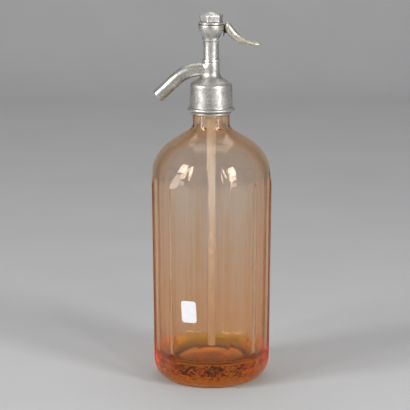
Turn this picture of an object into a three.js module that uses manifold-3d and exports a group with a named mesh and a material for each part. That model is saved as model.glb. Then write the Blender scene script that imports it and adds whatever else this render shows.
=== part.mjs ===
// A lever soda siphon: a panelled pressure bottle of tinted glass under a cast pewter head.
// Millimetres, +Z up. The origin is on the bottle's axis, on the table that it stands on.
// The spout points along -X and the lever along +X.
import * as THREE from "three";
import { mergeVertices } from "three/addons/utils/BufferGeometryUtils.js";
import Module from "manifold-3d";

const wasm = await Module();
wasm.setup();

// Clearances and cuts
const seatGap = 0.3; // between a piece and what it seats on
const jointGap = 0.15; // between the cap, its washer and the bowl's rim
const pinGap = 0.15; // round the lever's pin
const overrun = 2; // how far a cutter runs past what it cuts

// Dip tube, and the seal, nut and boss round its top
const tubeBore = 2.4;
const tubeWall = 1.6;
const tubeFloorGap = 6; // from the tube's foot to the bottle's floor
const tubeSealWall = 1.3;
const tubeSealHeight = 2.6;
const tubeRecessRise = 2.7; // of the recess's roof, above the bell's ceiling
const tubeBossWall = 1.7;
const tubeBossDepth = 5.8; // below the bell's ceiling
const tubeNutFlange = 2.6;

// Bottle
const bodyRadius = 51; // over the ridges, where the shoulder starts
const heelTaper = 1.4; // how much narrower the body is where the heel starts
const footInset = 14.6; // from there in to the foot
const heelHeight = 22;
const bodyHeight = 144; // from the heel to the shoulder
const footRingWidth = 6;
const pushUpDepth = 1.5;
const glassWall = 5.2;
const floorThickness = 20;
const innerHeelRadius = 9;
const shoulderCentre = 9; // of the shoulder's arc, from the bottle's axis
const shoulderSlope = THREE.MathUtils.degToRad(30); // of the cone above the shoulder, from level
const neckFillet = 8;
const neckRoom = 2.3; // between the tube's boss and the neck's bore
const neckLength = 6.7; // from the fillet to the ledge below the split ring
const grooveDepth = 3.2;
const grooveHeight = 10.7;
const lipInset = 1.4; // of the lip, from the neck's outside
const lipHeight = 7.5;
const lipEdge = 0.8;
const panelCount = 12;
const ridgeAngle = THREE.MathUtils.degToRad(17); // of the first ridge, from the front towards +X

// Split ring that the head screws on to, and the gasket on the lip
const splitRingReach = 0.3; // past the neck's outside
const splitFlangeReach = 1; // past the ring
const splitFlangeThickness = 2.2;
const gasketInset = 0.3; // of the gasket's hole, from the neck's bore
const gasketThickness = 1.7;

// Valve and its rod
const seatHeight = 2;
const seatBore = 1.7;
const washerLap = 0.7; // of the washer, over the seat
const washerHeight = 1.8;
const washerReach = 0.8; // of the washer, below the cup that holds it
const cupWall = 0.6;
const cupHead = 2;
const rodRadius = 1.6;
const rodStep = 0.4; // in to the neck that carries the lift collar
const collarHeight = 1.2;
const rodNutReach = 1.7; // past the rod's neck
const rodNutHeight = 1.8;
const rodEnd = 1; // of the rod, above its nut

// Head body: the bell, the lower column and the spigot for the upper column
const bellRoom = 0.55; // between the split ring and the bell
const bellWall = 1.4;
const bellFlare = 0.35; // how much wider the bell is at its rim
const rimReach = 2.35; // of the rim, past the bell
const rimThickness = 2.6;
const rimGap = 0.7; // from the split ring's flange to the rim
const bellShoulderFillet = 4;
const bellRoof = 6.5; // from the bell's ceiling to where the shoulder's fillet would turn level
const bellTopSlope = THREE.MathUtils.degToRad(30);
const columnFlare = 6.5;
const webThickness = 2; // below the valve seat
const waterWay = 0.45; // round the washer's cup
const spigotWall = 1.1;
const spigotHeight = 4;
const spigotShoulder = 2.3; // from the spigot out to the lower column's outside

// Spout
const spoutBore = 3.3;
const spoutWall = 2.2;
const spoutRise = 1.86; // of its axis, above the column's flare
const spoutCover = 0.7; // of the lower column, above the spout
const spoutStub = 1; // from the column to where the spout bends
const spoutBendRadius = 30;
const spoutBendSteps = 8;
const spoutAngle = THREE.MathUtils.degToRad(43);
const spoutStraight = 21.2; // after the bend
const spoutSpigotWall = 0.9;
const spoutSpigotDepth = 1.9; // into the column's wall
const spoutLip = 0.9; // the rounding of the spout's end

// Upper column and bowl
const columnWall = 1.5; // round the joint with the spigot
const jointRingReach = 0.4; // past the lower column
const jointRingHeight = 1.8;
const columnHeight = 17.2; // up to the bowl's neck
const bowlNeckReach = 0.7; // past the column
const bowlNeckHeight = 3.5;
const bowlRadius = 10.6;
const bowlWall = 1.7;
const bowlRimRise = 1.5; // of the rim, above the bowl's centre
const bowlFloorRise = 1.9; // of the flat floor, above the bottom of the ball
const columnGasketHeight = 1.4;
const packingDepth = 7.5; // from the bowl's floor to the packing's ledge
const ledgeThickness = 2;
const packingWall = 1.3;
const packingHeight = 2.5;
const packingNutHead = 1.2;
const packingNutReach = 0.4; // of the nut's head, past its thread

// Lever, its fork and the pin, measured from the pivot where they are not heights or widths
const pivotInset = 3; // from the ball's outside in to the pivot
const pivotRise = 7.61; // of the pivot, above the foot of the bowl's neck
const pinRadius = 1;
const pinHead = 0.4; // how far the pin stands out of each ear
const eyeWall = 1.2;
const eyeFootShares = [-0.8, -0.5]; // of a half turn, from the eye's prong side to its foot
const eyeTopShares = [0.4, 0.8]; // of a half turn, from the blade round to the prongs
const forkThickness = 2.8;
const prongHalfHeight = 1.2;
const prongWidth = 2.2;
const prongReach = 1.4; // of the prongs, past the rod's axis
const crossBarLength = 2.2;
const rodPassage = 0.6; // between the fork and the rod
const earThickness = 2; // of the lug, on each side of its slot
const lugReach = 2.3;
const lugFootReach = -0.4;
const lugBend = 3; // from the pivot down to where the lug's face starts to slope in
const tailLength = 5.9;
const tailGap = 0.5; // between the tail and the slot's foot
const slotStop = 0.4; // from the slot's foot to the lug's
const tailThickness = 1.1;
const tailReach = 0.9; // of the tail's outer edge, past the lug's foot
const bladeReach = 7.6;
const bladeDrop = 0.2; // of the blade's top, below the bowl's rim
const bladeFoot = 1.4;
const bladeInner = 1.4;

// Handle: a horn-shaped casting round the blade, hollow on top for the thumb
const handleStart = 5.3;
const handleRise = 7.2;
const handleLength = 28.5;
const handleDrop = 18.1;
const handleThickness = 8.5;
const handleWidth = 12;
const thumbHollow = 1.3;
const handleBendShares = [
  [0.074, 0.536],
  [0.41, 0.923],
];
// along the handle: place, thickness and width, as shares of its length, thickness and width
const handleShares = [
  [0, 0.24, 0.36],
  [0.03, 0.44, 0.56],
  [0.12, 0.8, 0.72],
  [0.25, 0.99, 0.77],
  [0.4, 1, 0.8],
  [0.55, 0.93, 0.88],
  [0.7, 0.74, 0.97],
  [0.84, 0.52, 1],
  [0.93, 0.38, 0.88],
  [0.98, 0.27, 0.6],
  [1, 0.12, 0.3],
];

// Return spring
const springWire = 1.1;
const springRoom = 0.95; // between the rod's nut and the wire
const springTurns = 4.5;
const springSpace = 8.4; // from the lift collar to the cap's ceiling

// Top cap
const capFlangeReach = 0.1; // past the bowl
const capFlangeHeight = 1.4;
const capHexInset = 0.4; // of the six corners, from the flange's edge
const capRoofWall = 1.9; // from the ceiling to where the roof starts
const capRoofHeight = 2.7;
const capCrownRadius = 1.6;
const capWaist = 0.6; // how far the six sides draw in above the flange
const capEdge = 0.6; // the bevel between the sides and the roof
const capSpigotGap = 0.5; // between the spigot and the ball's inside
const capSpigotDepth = 1.9;
const capBoreRoom = 0.85; // round the spring
const collarRoom = 0.6; // between the lift collar and the cap's bore
const capWasherHeight = 0.4;
const hexAngle = THREE.MathUtils.degToRad(46); // of the cap's first corner, from the front

// Number of sides on round pieces
const wideSides = 40;
const midSides = 32;
const smallSides = 18;
const handleSides = 20;
const hexSides = 6;
const wireSides = 6;
const springTurnSteps = 10;
// and in their arcs
const roundSteps = 10;
const bowlSteps = 8;
const heelSteps = 7;
const flareSteps = 6;
const cornerSteps = 5;

// Radii worked out from the middle outwards
const tubeRadius = tubeBore + tubeWall;
const tubeRecessRadius = tubeRadius + tubeSealWall + 2 * seatGap;
const tubeBossRadius = tubeRecessRadius + tubeBossWall;
const neckBore = tubeBossRadius + neckRoom;
const neckRadius = neckBore + glassWall;
const grooveRadius = neckRadius - grooveDepth;
const lipRadius = neckRadius - lipInset;
const heelTopRadius = bodyRadius - heelTaper;
const footRadius = heelTopRadius - footInset;
const splitRingRadius = neckRadius + splitRingReach;
const splitFlangeRadius = splitRingRadius + splitFlangeReach;
const bellInner = splitRingRadius + bellRoom;
const bellRadius = bellInner + bellWall;
const washerRadius = seatBore + washerLap;
const cupInner = washerRadius + seatGap / 2;
const cupOuter = cupInner + cupWall;
const columnBore = cupOuter + waterWay;
const spigotRadius = columnBore + spigotWall;
const lowerColumnRadius = spigotRadius + spigotShoulder;
const spoutRadius = spoutBore + spoutWall;
const spoutBendStart = lowerColumnRadius + spoutStub;
const columnRadius = spigotRadius + seatGap + columnWall;
const bowlNeckRadius = columnRadius + bowlNeckReach;
const bowlInner = bowlRadius - bowlWall;
const packingChamber = rodRadius + packingWall + 2 * seatGap;
const rodNeckRadius = rodRadius - rodStep;
const rodNutRadius = rodNeckRadius + rodNutReach;
const springRadius = rodNutRadius + springRoom + springWire / 2;
const capBore = springRadius + springWire / 2 + capBoreRoom;
const collarRadius = capBore - collarRoom;
const capSpigotRadius = bowlInner - capSpigotGap;
const capFlangeRadius = bowlRadius + capFlangeReach;
const capHexRadius = capFlangeRadius - capHexInset;
const pivotX = bowlRadius - pivotInset;
const eyeRadius = pinRadius + eyeWall;
const slotWidth = forkThickness + 2 * seatGap;
const lugWidth = slotWidth + 2 * earThickness;
const forkPassage = rodRadius + rodPassage;

// Levels worked out from the table upwards
const shoulderStart = heelHeight + bodyHeight;
const neckTop = shoulderProfile(0).at(-1)[1] + neckLength;
const lipStart = neckTop + grooveHeight;
const lipTop = lipStart + lipHeight;
const bellBottom = neckTop + seatGap + splitFlangeThickness + rimGap;
const bellCeiling = lipTop + gasketThickness + 2 * seatGap;
const bossBottom = bellCeiling - tubeBossDepth;
const seatWeb = bellCeiling + tubeRecessRise;
const flareTop = bellShoulder().at(-1)[1] + flareRise();
const spoutHeight = flareTop + spoutRise;
const bodyTop = spoutHeight + spoutRadius + spoutCover;
const seatBottom = seatWeb + webThickness + seatGap;
const washerBottom = seatBottom + seatHeight + seatGap;
const rodBottom = washerBottom + washerHeight + seatGap;
const spigotTop = bodyTop + spigotHeight;
const socketTop = spigotTop + columnGasketHeight + 2 * seatGap;
const columnBottom = bodyTop + seatGap;
const bowlNeckStart = columnBottom + columnHeight;
const bowlBase = bowlNeckStart + bowlNeckHeight;
const bowlCentre = bowlBase + Math.sqrt(bowlRadius ** 2 - bowlNeckRadius ** 2);
const bowlRim = bowlCentre + bowlRimRise;
const bowlFloor = bowlCentre - bowlInner + bowlFloorRise;
const packingLedge = bowlFloor - packingDepth;
const packingTop = packingLedge + seatGap + packingHeight;
const pivotZ = bowlNeckStart + pivotRise;
const collarBottom = pivotZ + prongHalfHeight + seatGap;
const springBottom = collarBottom + collarHeight + seatGap;
const capCeiling = springBottom + springSpace;
const rodTop = springBottom + rodNutHeight + rodEnd;
const capBottom = bowlRim + capWasherHeight + 2 * jointGap;
const capRoofStart = capCeiling + capRoofWall;

// Distances from the pivot that follow from those above
const slotFoot = tailLength + tailGap;
const lugFoot = slotFoot + slotStop;
const bladeTop = bowlRim - pivotZ - bladeDrop;

// A closed geometry as a solid that can be joined and cut.
function solid(geometry) {
  const bare = geometry.index ? geometry.toNonIndexed() : geometry.clone();
  bare.deleteAttribute("normal");
  bare.deleteAttribute("uv");
  const merged = mergeVertices(bare, 1e-4);
  return new wasm.Manifold(
    new wasm.Mesh({
      numProp: 3,
      vertProperties: merged.attributes.position.array,
      triVerts: new Uint32Array(merged.index.array),
    }),
  );
}

// A solid back as a geometry for a mesh.
function geometryOf(manifold) {
  const mesh = manifold.getMesh();
  const made = new THREE.BufferGeometry();
  made.setAttribute("position", new THREE.BufferAttribute(mesh.vertProperties, 3));
  made.setIndex(new THREE.BufferAttribute(mesh.triVerts, 1));
  const flat = made.toNonIndexed();
  flat.computeVertexNormals();
  return flat;
}

// An anticlockwise profile of [radius, height] points turned round +Z. It closes on itself,
// or starts and ends on the axis.
function lathe(profile, sides, start = 0) {
  const points = profile.map(([r, z]) => new THREE.Vector2(r, z));
  if (profile[0][0] > 0) points.push(points[0].clone());
  return new THREE.LatheGeometry(points, sides, start).rotateX(Math.PI / 2);
}

const turned = (profile, sides, start) => solid(lathe(profile, sides, start));

// A plain ring between two radii and two heights.
function ring(inner, outer, bottom, top, sides) {
  return turned([[inner, bottom], [outer, bottom], [outer, top], [inner, top]], sides);
}

// A plain disc or cylinder round +Z.
function disc(radius, bottom, top, sides) {
  return turned([[0, bottom], [radius, bottom], [radius, top], [0, top]], sides);
}

// Points of an arc about (x, y), both ends included.
function arc(x, y, radius, from, to, steps) {
  return Array.from({ length: steps + 1 }, (_, i) => {
    const a = from + ((to - from) * i) / steps;
    return [x + radius * Math.cos(a), y + radius * Math.sin(a)];
  });
}

// An anticlockwise outline of [x, z] points, seen from the front, as a plate centred on y = 0.
function plate(outline, thickness) {
  const shape = new THREE.Shape(outline.map(([x, z]) => new THREE.Vector2(x, z)));
  const made = new THREE.ExtrudeGeometry(shape, { depth: thickness, bevelEnabled: false });
  return solid(made.translate(0, 0, -thickness / 2).rotateX(Math.PI / 2));
}

function box(x0, x1, y0, y1, z0, z1) {
  const made = new THREE.BoxGeometry(x1 - x0, y1 - y0, z1 - z0);
  return solid(made.translate((x0 + x1) / 2, (y0 + y1) / 2, (z0 + z1) / 2));
}

// A cylinder along Y through (x, z).
function crossCylinder(x, z, radius, length) {
  return solid(new THREE.CylinderGeometry(radius, radius, length, smallSides).translate(x, 0, z));
}

// Moves an outline measured from the lever's pivot to its place.
const fromPivot = (outline) => outline.map(([x, z]) => [pivotX + x, pivotZ + z]);

// The glass profile from the shoulder's start to the neck, moved inwards by inset.
function shoulderProfile(inset) {
  const lean = Math.PI / 2 - shoulderSlope;
  const radius = bodyRadius - shoulderCentre - inset;
  const round = arc(shoulderCentre, heelHeight + bodyHeight, radius, 0, lean, roundSteps);
  const filletRadius = neckFillet + inset;
  const filletX = neckRadius + neckFillet;
  const filletReach = filletX - filletRadius * Math.cos(lean);
  const [coneX, coneZ] = round.at(-1);
  const filletFoot = coneZ + (coneX - filletReach) * Math.tan(shoulderSlope);
  const filletZ = filletFoot + filletRadius * Math.sin(lean);
  return [...round, ...arc(filletX, filletZ, filletRadius, Math.PI + lean, Math.PI, cornerSteps)];
}

// How much the body widens for each millimetre above the heel.
const bodyTaper = (bodyRadius - heelTopRadius) / (shoulderStart - heelHeight);

// Presses flat panels into the outside of the body, between ridges that fade out over the heel
// and that end in arches where the shoulder is narrower than the panels.
function pressPanels(geometry) {
  const step = (2 * Math.PI) / panelCount;
  const at = geometry.attributes.position;
  for (let i = 0; i < at.count; i++) {
    const [x, y, z] = [at.getX(i), at.getY(i), at.getZ(i)];
    const r = Math.hypot(x, y);
    if (r === 0) continue;
    const turns = (Math.atan2(x, -y) - ridgeAngle) / step;
    const across = (turns - Math.floor(turns) - 1 / 2) * step;
    const share = Math.cos(step / 2) / Math.cos(across);
    const fade = Math.min(1, z / heelHeight);
    const ridge = Math.min(bodyRadius, heelTopRadius + (z - heelHeight) * bodyTaper);
    const pressed = z < heelHeight ? r * (1 + (share - 1) * fade) : Math.min(r, ridge * share);
    at.setXY(i, (x * pressed) / r, (y * pressed) / r);
  }
  return geometry;
}

function bottle() {
  const heel = arc(0, 0, 1, -Math.PI / 2, 0, heelSteps).map(([x, z]) => [
    footRadius + (heelTopRadius - footRadius) * x,
    heelHeight * (1 + z),
  ]);
  const ringInner = footRadius - footRingWidth;
  const outside = pressPanels(
    lathe(
      [
        [0, pushUpDepth],
        [ringInner - pushUpDepth, pushUpDepth],
        [ringInner, 0],
        ...heel,
        ...shoulderProfile(0),
        [neckRadius, neckTop - lipEdge],
        [neckRadius - lipEdge, neckTop],
        [grooveRadius, neckTop],
        [grooveRadius, lipStart],
        [lipRadius - lipEdge, lipStart],
        [lipRadius, lipStart + lipEdge],
        [lipRadius, lipTop - lipEdge],
        [lipRadius - lipEdge, lipTop],
        [0, lipTop],
      ],
      panelCount * 4,
      ridgeAngle,
    ),
  );
  const innerHeelX = heelTopRadius - glassWall - innerHeelRadius;
  const innerHeelZ = floorThickness + innerHeelRadius;
  const inside = turned(
    [
      [0, floorThickness],
      ...arc(innerHeelX, innerHeelZ, innerHeelRadius, -Math.PI / 2, 0, cornerSteps),
      ...shoulderProfile(glassWall),
      [neckBore, lipTop - lipEdge],
      [neckBore + lipEdge, lipTop],
      [neckBore + lipEdge, lipTop + overrun],
      [0, lipTop + overrun],
    ],
    wideSides,
    ridgeAngle,
  );
  return solid(outside).subtract(inside);
}

// One half of the threaded ring that grips the glass below its lip.
function splitRing(side) {
  const bottom = neckTop + seatGap;
  const top = lipStart - seatGap;
  const whole = turned(
    [
      [grooveRadius + seatGap, bottom],
      [splitFlangeRadius, bottom],
      [splitFlangeRadius, bottom + splitFlangeThickness],
      [splitRingRadius, bottom + splitFlangeThickness],
      [splitRingRadius, top],
      [grooveRadius + seatGap, top],
    ],
    wideSides,
  );
  const reach = splitFlangeRadius + overrun;
  const y0 = side > 0 ? seatGap / 2 : -reach;
  const y1 = side > 0 ? reach : -seatGap / 2;
  return whole.intersect(box(-reach, reach, y0, y1, bottom - overrun, top + overrun));
}

function neckGasket() {
  const bottom = lipTop + seatGap;
  const inner = neckBore + gasketInset;
  return ring(inner, lipRadius, bottom, bottom + gasketThickness, wideSides);
}

function dipTube() {
  const bottom = floorThickness + tubeFloorGap;
  return ring(tubeBore, tubeRadius, bottom, seatWeb - seatGap, smallSides);
}

function tubeSeal() {
  const top = seatWeb - seatGap;
  const outer = tubeRecessRadius - seatGap;
  return ring(tubeRadius + seatGap, outer, top - tubeSealHeight, top, smallSides);
}

// The nut that presses the seal round the dip tube: a six-sided head under a round shank.
function tubeNut() {
  const bottom = bossBottom - seatGap - tubeNutFlange;
  const shankTop = seatWeb - tubeSealHeight - 2 * seatGap;
  const head = disc(tubeBossRadius - seatGap, bottom, bottom + tubeNutFlange, hexSides);
  const shankStart = bottom + tubeNutFlange / 2;
  const shank = disc(tubeRecessRadius - seatGap, shankStart, shankTop, smallSides);
  const bore = disc(tubeRadius + seatGap, bottom - overrun, shankTop + overrun, smallSides);
  return head.add(shank).subtract(bore);
}

// The bell's shoulder, from its side to where its sloping top starts.
function bellShoulder() {
  const x = bellRadius - bellShoulderFillet;
  const z = bellCeiling + bellRoof - bellShoulderFillet;
  return arc(x, z, bellShoulderFillet, 0, Math.PI / 2 - bellTopSlope, 4);
}

// How far above the end of the bell's shoulder the column's flare starts.
function flareRise() {
  const turn = Math.PI / 2 - bellTopSlope;
  const flareFoot = lowerColumnRadius + columnFlare * (1 - Math.cos(turn));
  const slopeLength = bellShoulder().at(-1)[0] - flareFoot;
  return slopeLength * Math.tan(bellTopSlope) + columnFlare * Math.sin(turn);
}

// The outside of the column where it flares into the bell's top, moved outwards by grow.
function flareProfile(grow) {
  const centre = lowerColumnRadius + columnFlare;
  const turn = Math.PI / 2 - bellTopSlope;
  return arc(centre, flareTop, columnFlare - grow, Math.PI + turn, Math.PI, flareSteps);
}

function headBody() {
  const rimBead = rimThickness / 2;
  const beadX = bellRadius + rimReach - rimBead;
  const profile = [
    [bellInner, bellBottom],
    ...arc(beadX, bellBottom + rimBead, rimBead, -Math.PI / 2, Math.PI / 2, cornerSteps),
    [bellRadius + bellFlare, bellBottom + rimThickness],
    ...bellShoulder(),
    ...flareProfile(0),
    [lowerColumnRadius, bodyTop],
    [spigotRadius, bodyTop],
    [spigotRadius, spigotTop],
    [columnBore, spigotTop],
    [columnBore, seatWeb + webThickness],
    [tubeBore, seatWeb + webThickness],
    [tubeBore, seatWeb],
    [tubeRecessRadius, seatWeb],
    [tubeRecessRadius, bossBottom],
    [tubeBossRadius, bossBottom],
    [tubeBossRadius, bellCeiling],
    [bellInner, bellCeiling],
  ];
  const wall = lowerColumnRadius - spoutSpigotDepth;
  const outer = lowerColumnRadius + overrun;
  const socket = alongX(spoutBore + spoutSpigotWall + seatGap, -outer, -wall);
  return turned(profile, midSides).subtract(socket).subtract(alongX(spoutBore, -outer, 0));
}

// A cylinder along X at the spout's height.
function alongX(radius, x0, x1) {
  const made = new THREE.CylinderGeometry(radius, radius, x1 - x0, smallSides);
  return solid(made.rotateZ(Math.PI / 2).translate((x0 + x1) / 2, 0, spoutHeight));
}

// The line that the spout's bore follows, from the column's axis to its mouth.
function spoutPath(start, lengthened) {
  const path = new THREE.CurvePath();
  const at = (x, z) => new THREE.Vector3(x, 0, z);
  const sin = Math.sin(spoutAngle);
  const cos = Math.cos(spoutAngle);
  const bend = at(-spoutBendStart, spoutHeight);
  const bendEnd = at(
    -spoutBendStart - spoutBendRadius * sin,
    spoutHeight - spoutBendRadius * (1 - cos),
  );
  const mouth = bendEnd.clone().add(at(-cos, -sin).multiplyScalar(spoutStraight + lengthened));
  path.add(new THREE.LineCurve3(at(start, spoutHeight), bend));
  for (let i = 0; i < spoutBendSteps; i++) {
    const place = (share) => {
      const a = spoutAngle * share;
      return at(
        bend.x - spoutBendRadius * Math.sin(a),
        bend.z - spoutBendRadius * (1 - Math.cos(a)),
      );
    };
    path.add(new THREE.LineCurve3(place(i / spoutBendSteps), place((i + 1) / spoutBendSteps)));
  }
  path.add(new THREE.LineCurve3(bendEnd, mouth));
  return path;
}

// A rod along the spout's line, with its far end rounded by lip: one ring of points at each
// corner of the line, so that the straight stretches take no extra faces.
function spoutSolid(start, lengthened, radius, lip) {
  const path = spoutPath(start, lengthened);
  const corners = [path.curves[0].v1, ...path.curves.map((curve) => curve.v2)];
  const along = path.curves.map((curve) => curve.v2.clone().sub(curve.v1).normalize());
  const sections = corners.map((corner, i) => {
    const before = along[Math.max(0, i - 1)];
    const after = along[Math.min(along.length - 1, i)];
    return { centre: corner, along: before.clone().add(after).normalize(), radius };
  });
  if (lip > 0) {
    const end = sections.pop();
    const rounding = arc(radius - lip, -lip, lip, 0, Math.PI / 2, 4);
    for (const [r, back] of rounding) {
      const centre = end.centre.clone().addScaledVector(end.along, back);
      sections.push({ centre, along: end.along, radius: r });
    }
  }
  const rings = sections.map((section) => {
    const up = new THREE.Vector3(0, 1, 0).cross(section.along);
    return arc(0, 0, section.radius, 0, 2 * Math.PI, smallSides)
      .slice(1)
      .map(([a, b]) => {
        const point = section.centre.clone().addScaledVector(up, a);
        return point.setY(b);
      });
  });
  return solid(skin(rings));
}

// A closed skin over rings of points, each ring with as many points and in the same sense,
// with a fan over both ends.
function skin(rings) {
  const count = rings[0].length;
  const middle = (points) =>
    points.reduce((sum, p) => sum.add(p), new THREE.Vector3()).divideScalar(points.length);
  const points = [...rings.flat(), middle(rings[0]), middle(rings.at(-1))];
  const first = points.length - 2;
  const last = points.length - 1;
  const index = [];
  for (let j = 0; j < count; j++) {
    const k = (j + 1) % count;
    for (let i = 0; i + 1 < rings.length; i++) {
      const [a, b] = [i * count + j, i * count + k];
      index.push(a, b, a + count, b, b + count, a + count);
    }
    const end = (rings.length - 1) * count;
    index.push(k, j, first, end + j, end + k, last);
  }
  return new THREE.BufferGeometry().setFromPoints(points).setIndex(index);
}

function spout() {
  const tube = spoutSolid(0, 0, spoutRadius, spoutLip);
  const column = turned(
    [
      [0, bellCeiling],
      [flareProfile(seatGap)[0][0], bellCeiling],
      ...flareProfile(seatGap),
      [lowerColumnRadius + seatGap, bodyTop + overrun],
      [0, bodyTop + overrun],
    ],
    midSides,
  );
  const spigotEnd = lowerColumnRadius - spoutSpigotDepth + seatGap;
  const spigot = alongX(spoutBore + spoutSpigotWall, -spoutBendStart, -spigotEnd);
  return tube.subtract(column).add(spigot).subtract(spoutSolid(overrun, overrun, spoutBore, 0));
}

function valveSeat() {
  return ring(seatBore, columnBore - seatGap, seatBottom, seatBottom + seatHeight, smallSides);
}

function valveWasher() {
  return disc(washerRadius, washerBottom, washerBottom + washerHeight, smallSides);
}

// The rod, with the cup for the washer at its foot and a thinner neck through the lift collar.
function valveRod() {
  const neckStart = collarBottom - seatGap;
  return turned(
    [
      [0, rodBottom],
      [cupInner, rodBottom],
      [cupInner, washerBottom + washerReach],
      [cupOuter, washerBottom + washerReach],
      [cupOuter, rodBottom + cupHead],
      [rodRadius, rodBottom + cupHead + cupOuter - rodRadius],
      [rodRadius, neckStart],
      [rodNeckRadius, neckStart],
      [rodNeckRadius, rodTop],
      [0, rodTop],
    ],
    smallSides,
  );
}

function columnGasket() {
  const bottom = spigotTop + seatGap;
  return ring(columnBore, spigotRadius, bottom, bottom + columnGasketHeight, smallSides);
}

// The upper column, the ball-shaped bowl on it and the flat lug that carries the lever.
function valveColumn() {
  const bowlStart = Math.asin(bowlNeckRadius / bowlRadius);
  const rimTurn = Math.asin((bowlRim - bowlCentre) / bowlRadius);
  const innerStart = Math.acos((bowlCentre - bowlFloor) / bowlInner);
  const innerRim = Math.asin((bowlRim - bowlCentre) / bowlInner);
  const body = turned(
    [
      [spigotRadius + seatGap, columnBottom],
      [lowerColumnRadius + jointRingReach, columnBottom],
      [lowerColumnRadius + jointRingReach, columnBottom + jointRingHeight],
      [columnRadius, columnBottom + jointRingHeight],
      [columnRadius, bowlNeckStart],
      [bowlNeckRadius, bowlNeckStart],
      ...arc(0, bowlCentre, bowlRadius, bowlStart - Math.PI / 2, rimTurn, bowlSteps),
      ...arc(0, bowlCentre, bowlInner, innerRim, innerStart - Math.PI / 2, cornerSteps),
      [packingChamber, bowlFloor],
      [packingChamber, packingLedge],
      [rodRadius + seatGap, packingLedge],
      [rodRadius + seatGap, packingLedge - ledgeThickness],
      [columnBore, packingLedge - ledgeThickness],
      [columnBore, socketTop],
      [spigotRadius + seatGap, socketTop],
    ],
    midSides,
  );
  const lug = plate(
    fromPivot([
      [lugReach, -lugBend],
      [lugReach, bowlRim - pivotZ],
      [-eyeRadius, bowlRim - pivotZ],
      [-eyeRadius, -lugFoot],
      [lugFootReach, -lugFoot],
    ]),
    lugWidth,
  );
  const hollow = turned(
    [
      [0, bowlFloor],
      ...arc(0, bowlCentre, bowlInner, innerStart - Math.PI / 2, innerRim, cornerSteps),
      [0, bowlRim],
    ],
    midSides,
  );
  const slot = box(
    pivotX - eyeRadius,
    pivotX + lugReach + overrun,
    -slotWidth / 2,
    slotWidth / 2,
    pivotZ - slotFoot,
    bowlRim + overrun,
  );
  const pinHole = crossCylinder(pivotX, pivotZ, pinRadius + pinGap, lugWidth + overrun);
  return body.add(lug.subtract(hollow)).subtract(slot).subtract(pinHole);
}

function rodPacking() {
  const inner = rodRadius + seatGap;
  return ring(inner, packingChamber - seatGap, packingLedge + seatGap, packingTop, smallSides);
}

// The nut that tightens the packing round the rod, with its head on the bowl's floor.
function packingNut() {
  const headBottom = bowlFloor + seatGap;
  const inner = rodRadius + seatGap;
  return turned(
    [
      [inner, packingTop + seatGap],
      [packingChamber - seatGap, packingTop + seatGap],
      [packingChamber - seatGap, headBottom],
      [packingChamber + packingNutReach, headBottom],
      [packingChamber + packingNutReach, headBottom + packingNutHead],
      [inner, headBottom + packingNutHead],
    ],
    smallSides,
  );
}

function liftCollar() {
  const inner = rodNeckRadius + seatGap;
  return ring(inner, collarRadius, collarBottom, collarBottom + collarHeight, smallSides);
}

function rodNut() {
  const inner = rodNeckRadius + seatGap;
  return ring(inner, rodNutRadius, springBottom, springBottom + rodNutHeight, hexSides);
}

// The coil spring, one unbroken helix from the collar to the cap.
function returnSpring() {
  const steps = springTurns * springTurnSteps;
  const wire = springWire / 2;
  const height = springSpace - 2 * wire - seatGap;
  const coil = (share) => {
    const a = 2 * Math.PI * springTurns * share;
    const z = springBottom + wire + height * share;
    return new THREE.Vector3(springRadius * Math.cos(a), springRadius * Math.sin(a), z);
  };
  const pitch = height / springTurns;
  console.log("return spring: least gap between its turns", (pitch - springWire).toFixed(2), "mm");
  const rings = Array.from({ length: steps + 1 }, (_, i) => {
    const centre = coil(i / steps);
    const out = new THREE.Vector3(centre.x, centre.y, 0).normalize();
    return arc(0, 0, wire, 0, 2 * Math.PI, wireSides)
      .slice(1)
      .map(([a, b]) => centre.clone().addScaledVector(out, a).setZ(centre.z - b));
  });
  return solid(skin(rings));
}

// A six-sided turning: an anticlockwise profile whose radii reach the corners.
const sixSided = (profile) => turned(profile, hexSides, hexAngle);

function topCap() {
  const sideStart = capBottom + capFlangeHeight;
  const hex = sixSided([
    [0, capBottom + capFlangeHeight / 2],
    [capHexRadius - capWaist, capBottom + capFlangeHeight / 2],
    [capHexRadius - capWaist, sideStart + capWaist],
    [capHexRadius, (sideStart + capRoofStart) / 2],
    [capHexRadius, capRoofStart - capEdge],
    [capHexRadius - capEdge, capRoofStart],
    [capCrownRadius, capRoofStart + capRoofHeight],
    [0, capRoofStart + capRoofHeight],
  ]);
  const flange = disc(capFlangeRadius, capBottom, sideStart, midSides);
  const spigot = disc(capSpigotRadius, capBottom - capSpigotDepth, capBottom, midSides);
  const bore = disc(capBore, capBottom - capSpigotDepth - overrun, capCeiling, midSides);
  return hex.add(flange).add(spigot).subtract(bore);
}

function capWasher() {
  const bottom = bowlRim + jointGap;
  const top = bottom + capWasherHeight;
  return ring(capSpigotRadius + seatGap, bowlRadius - jointGap, bottom, top, midSides);
}

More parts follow.
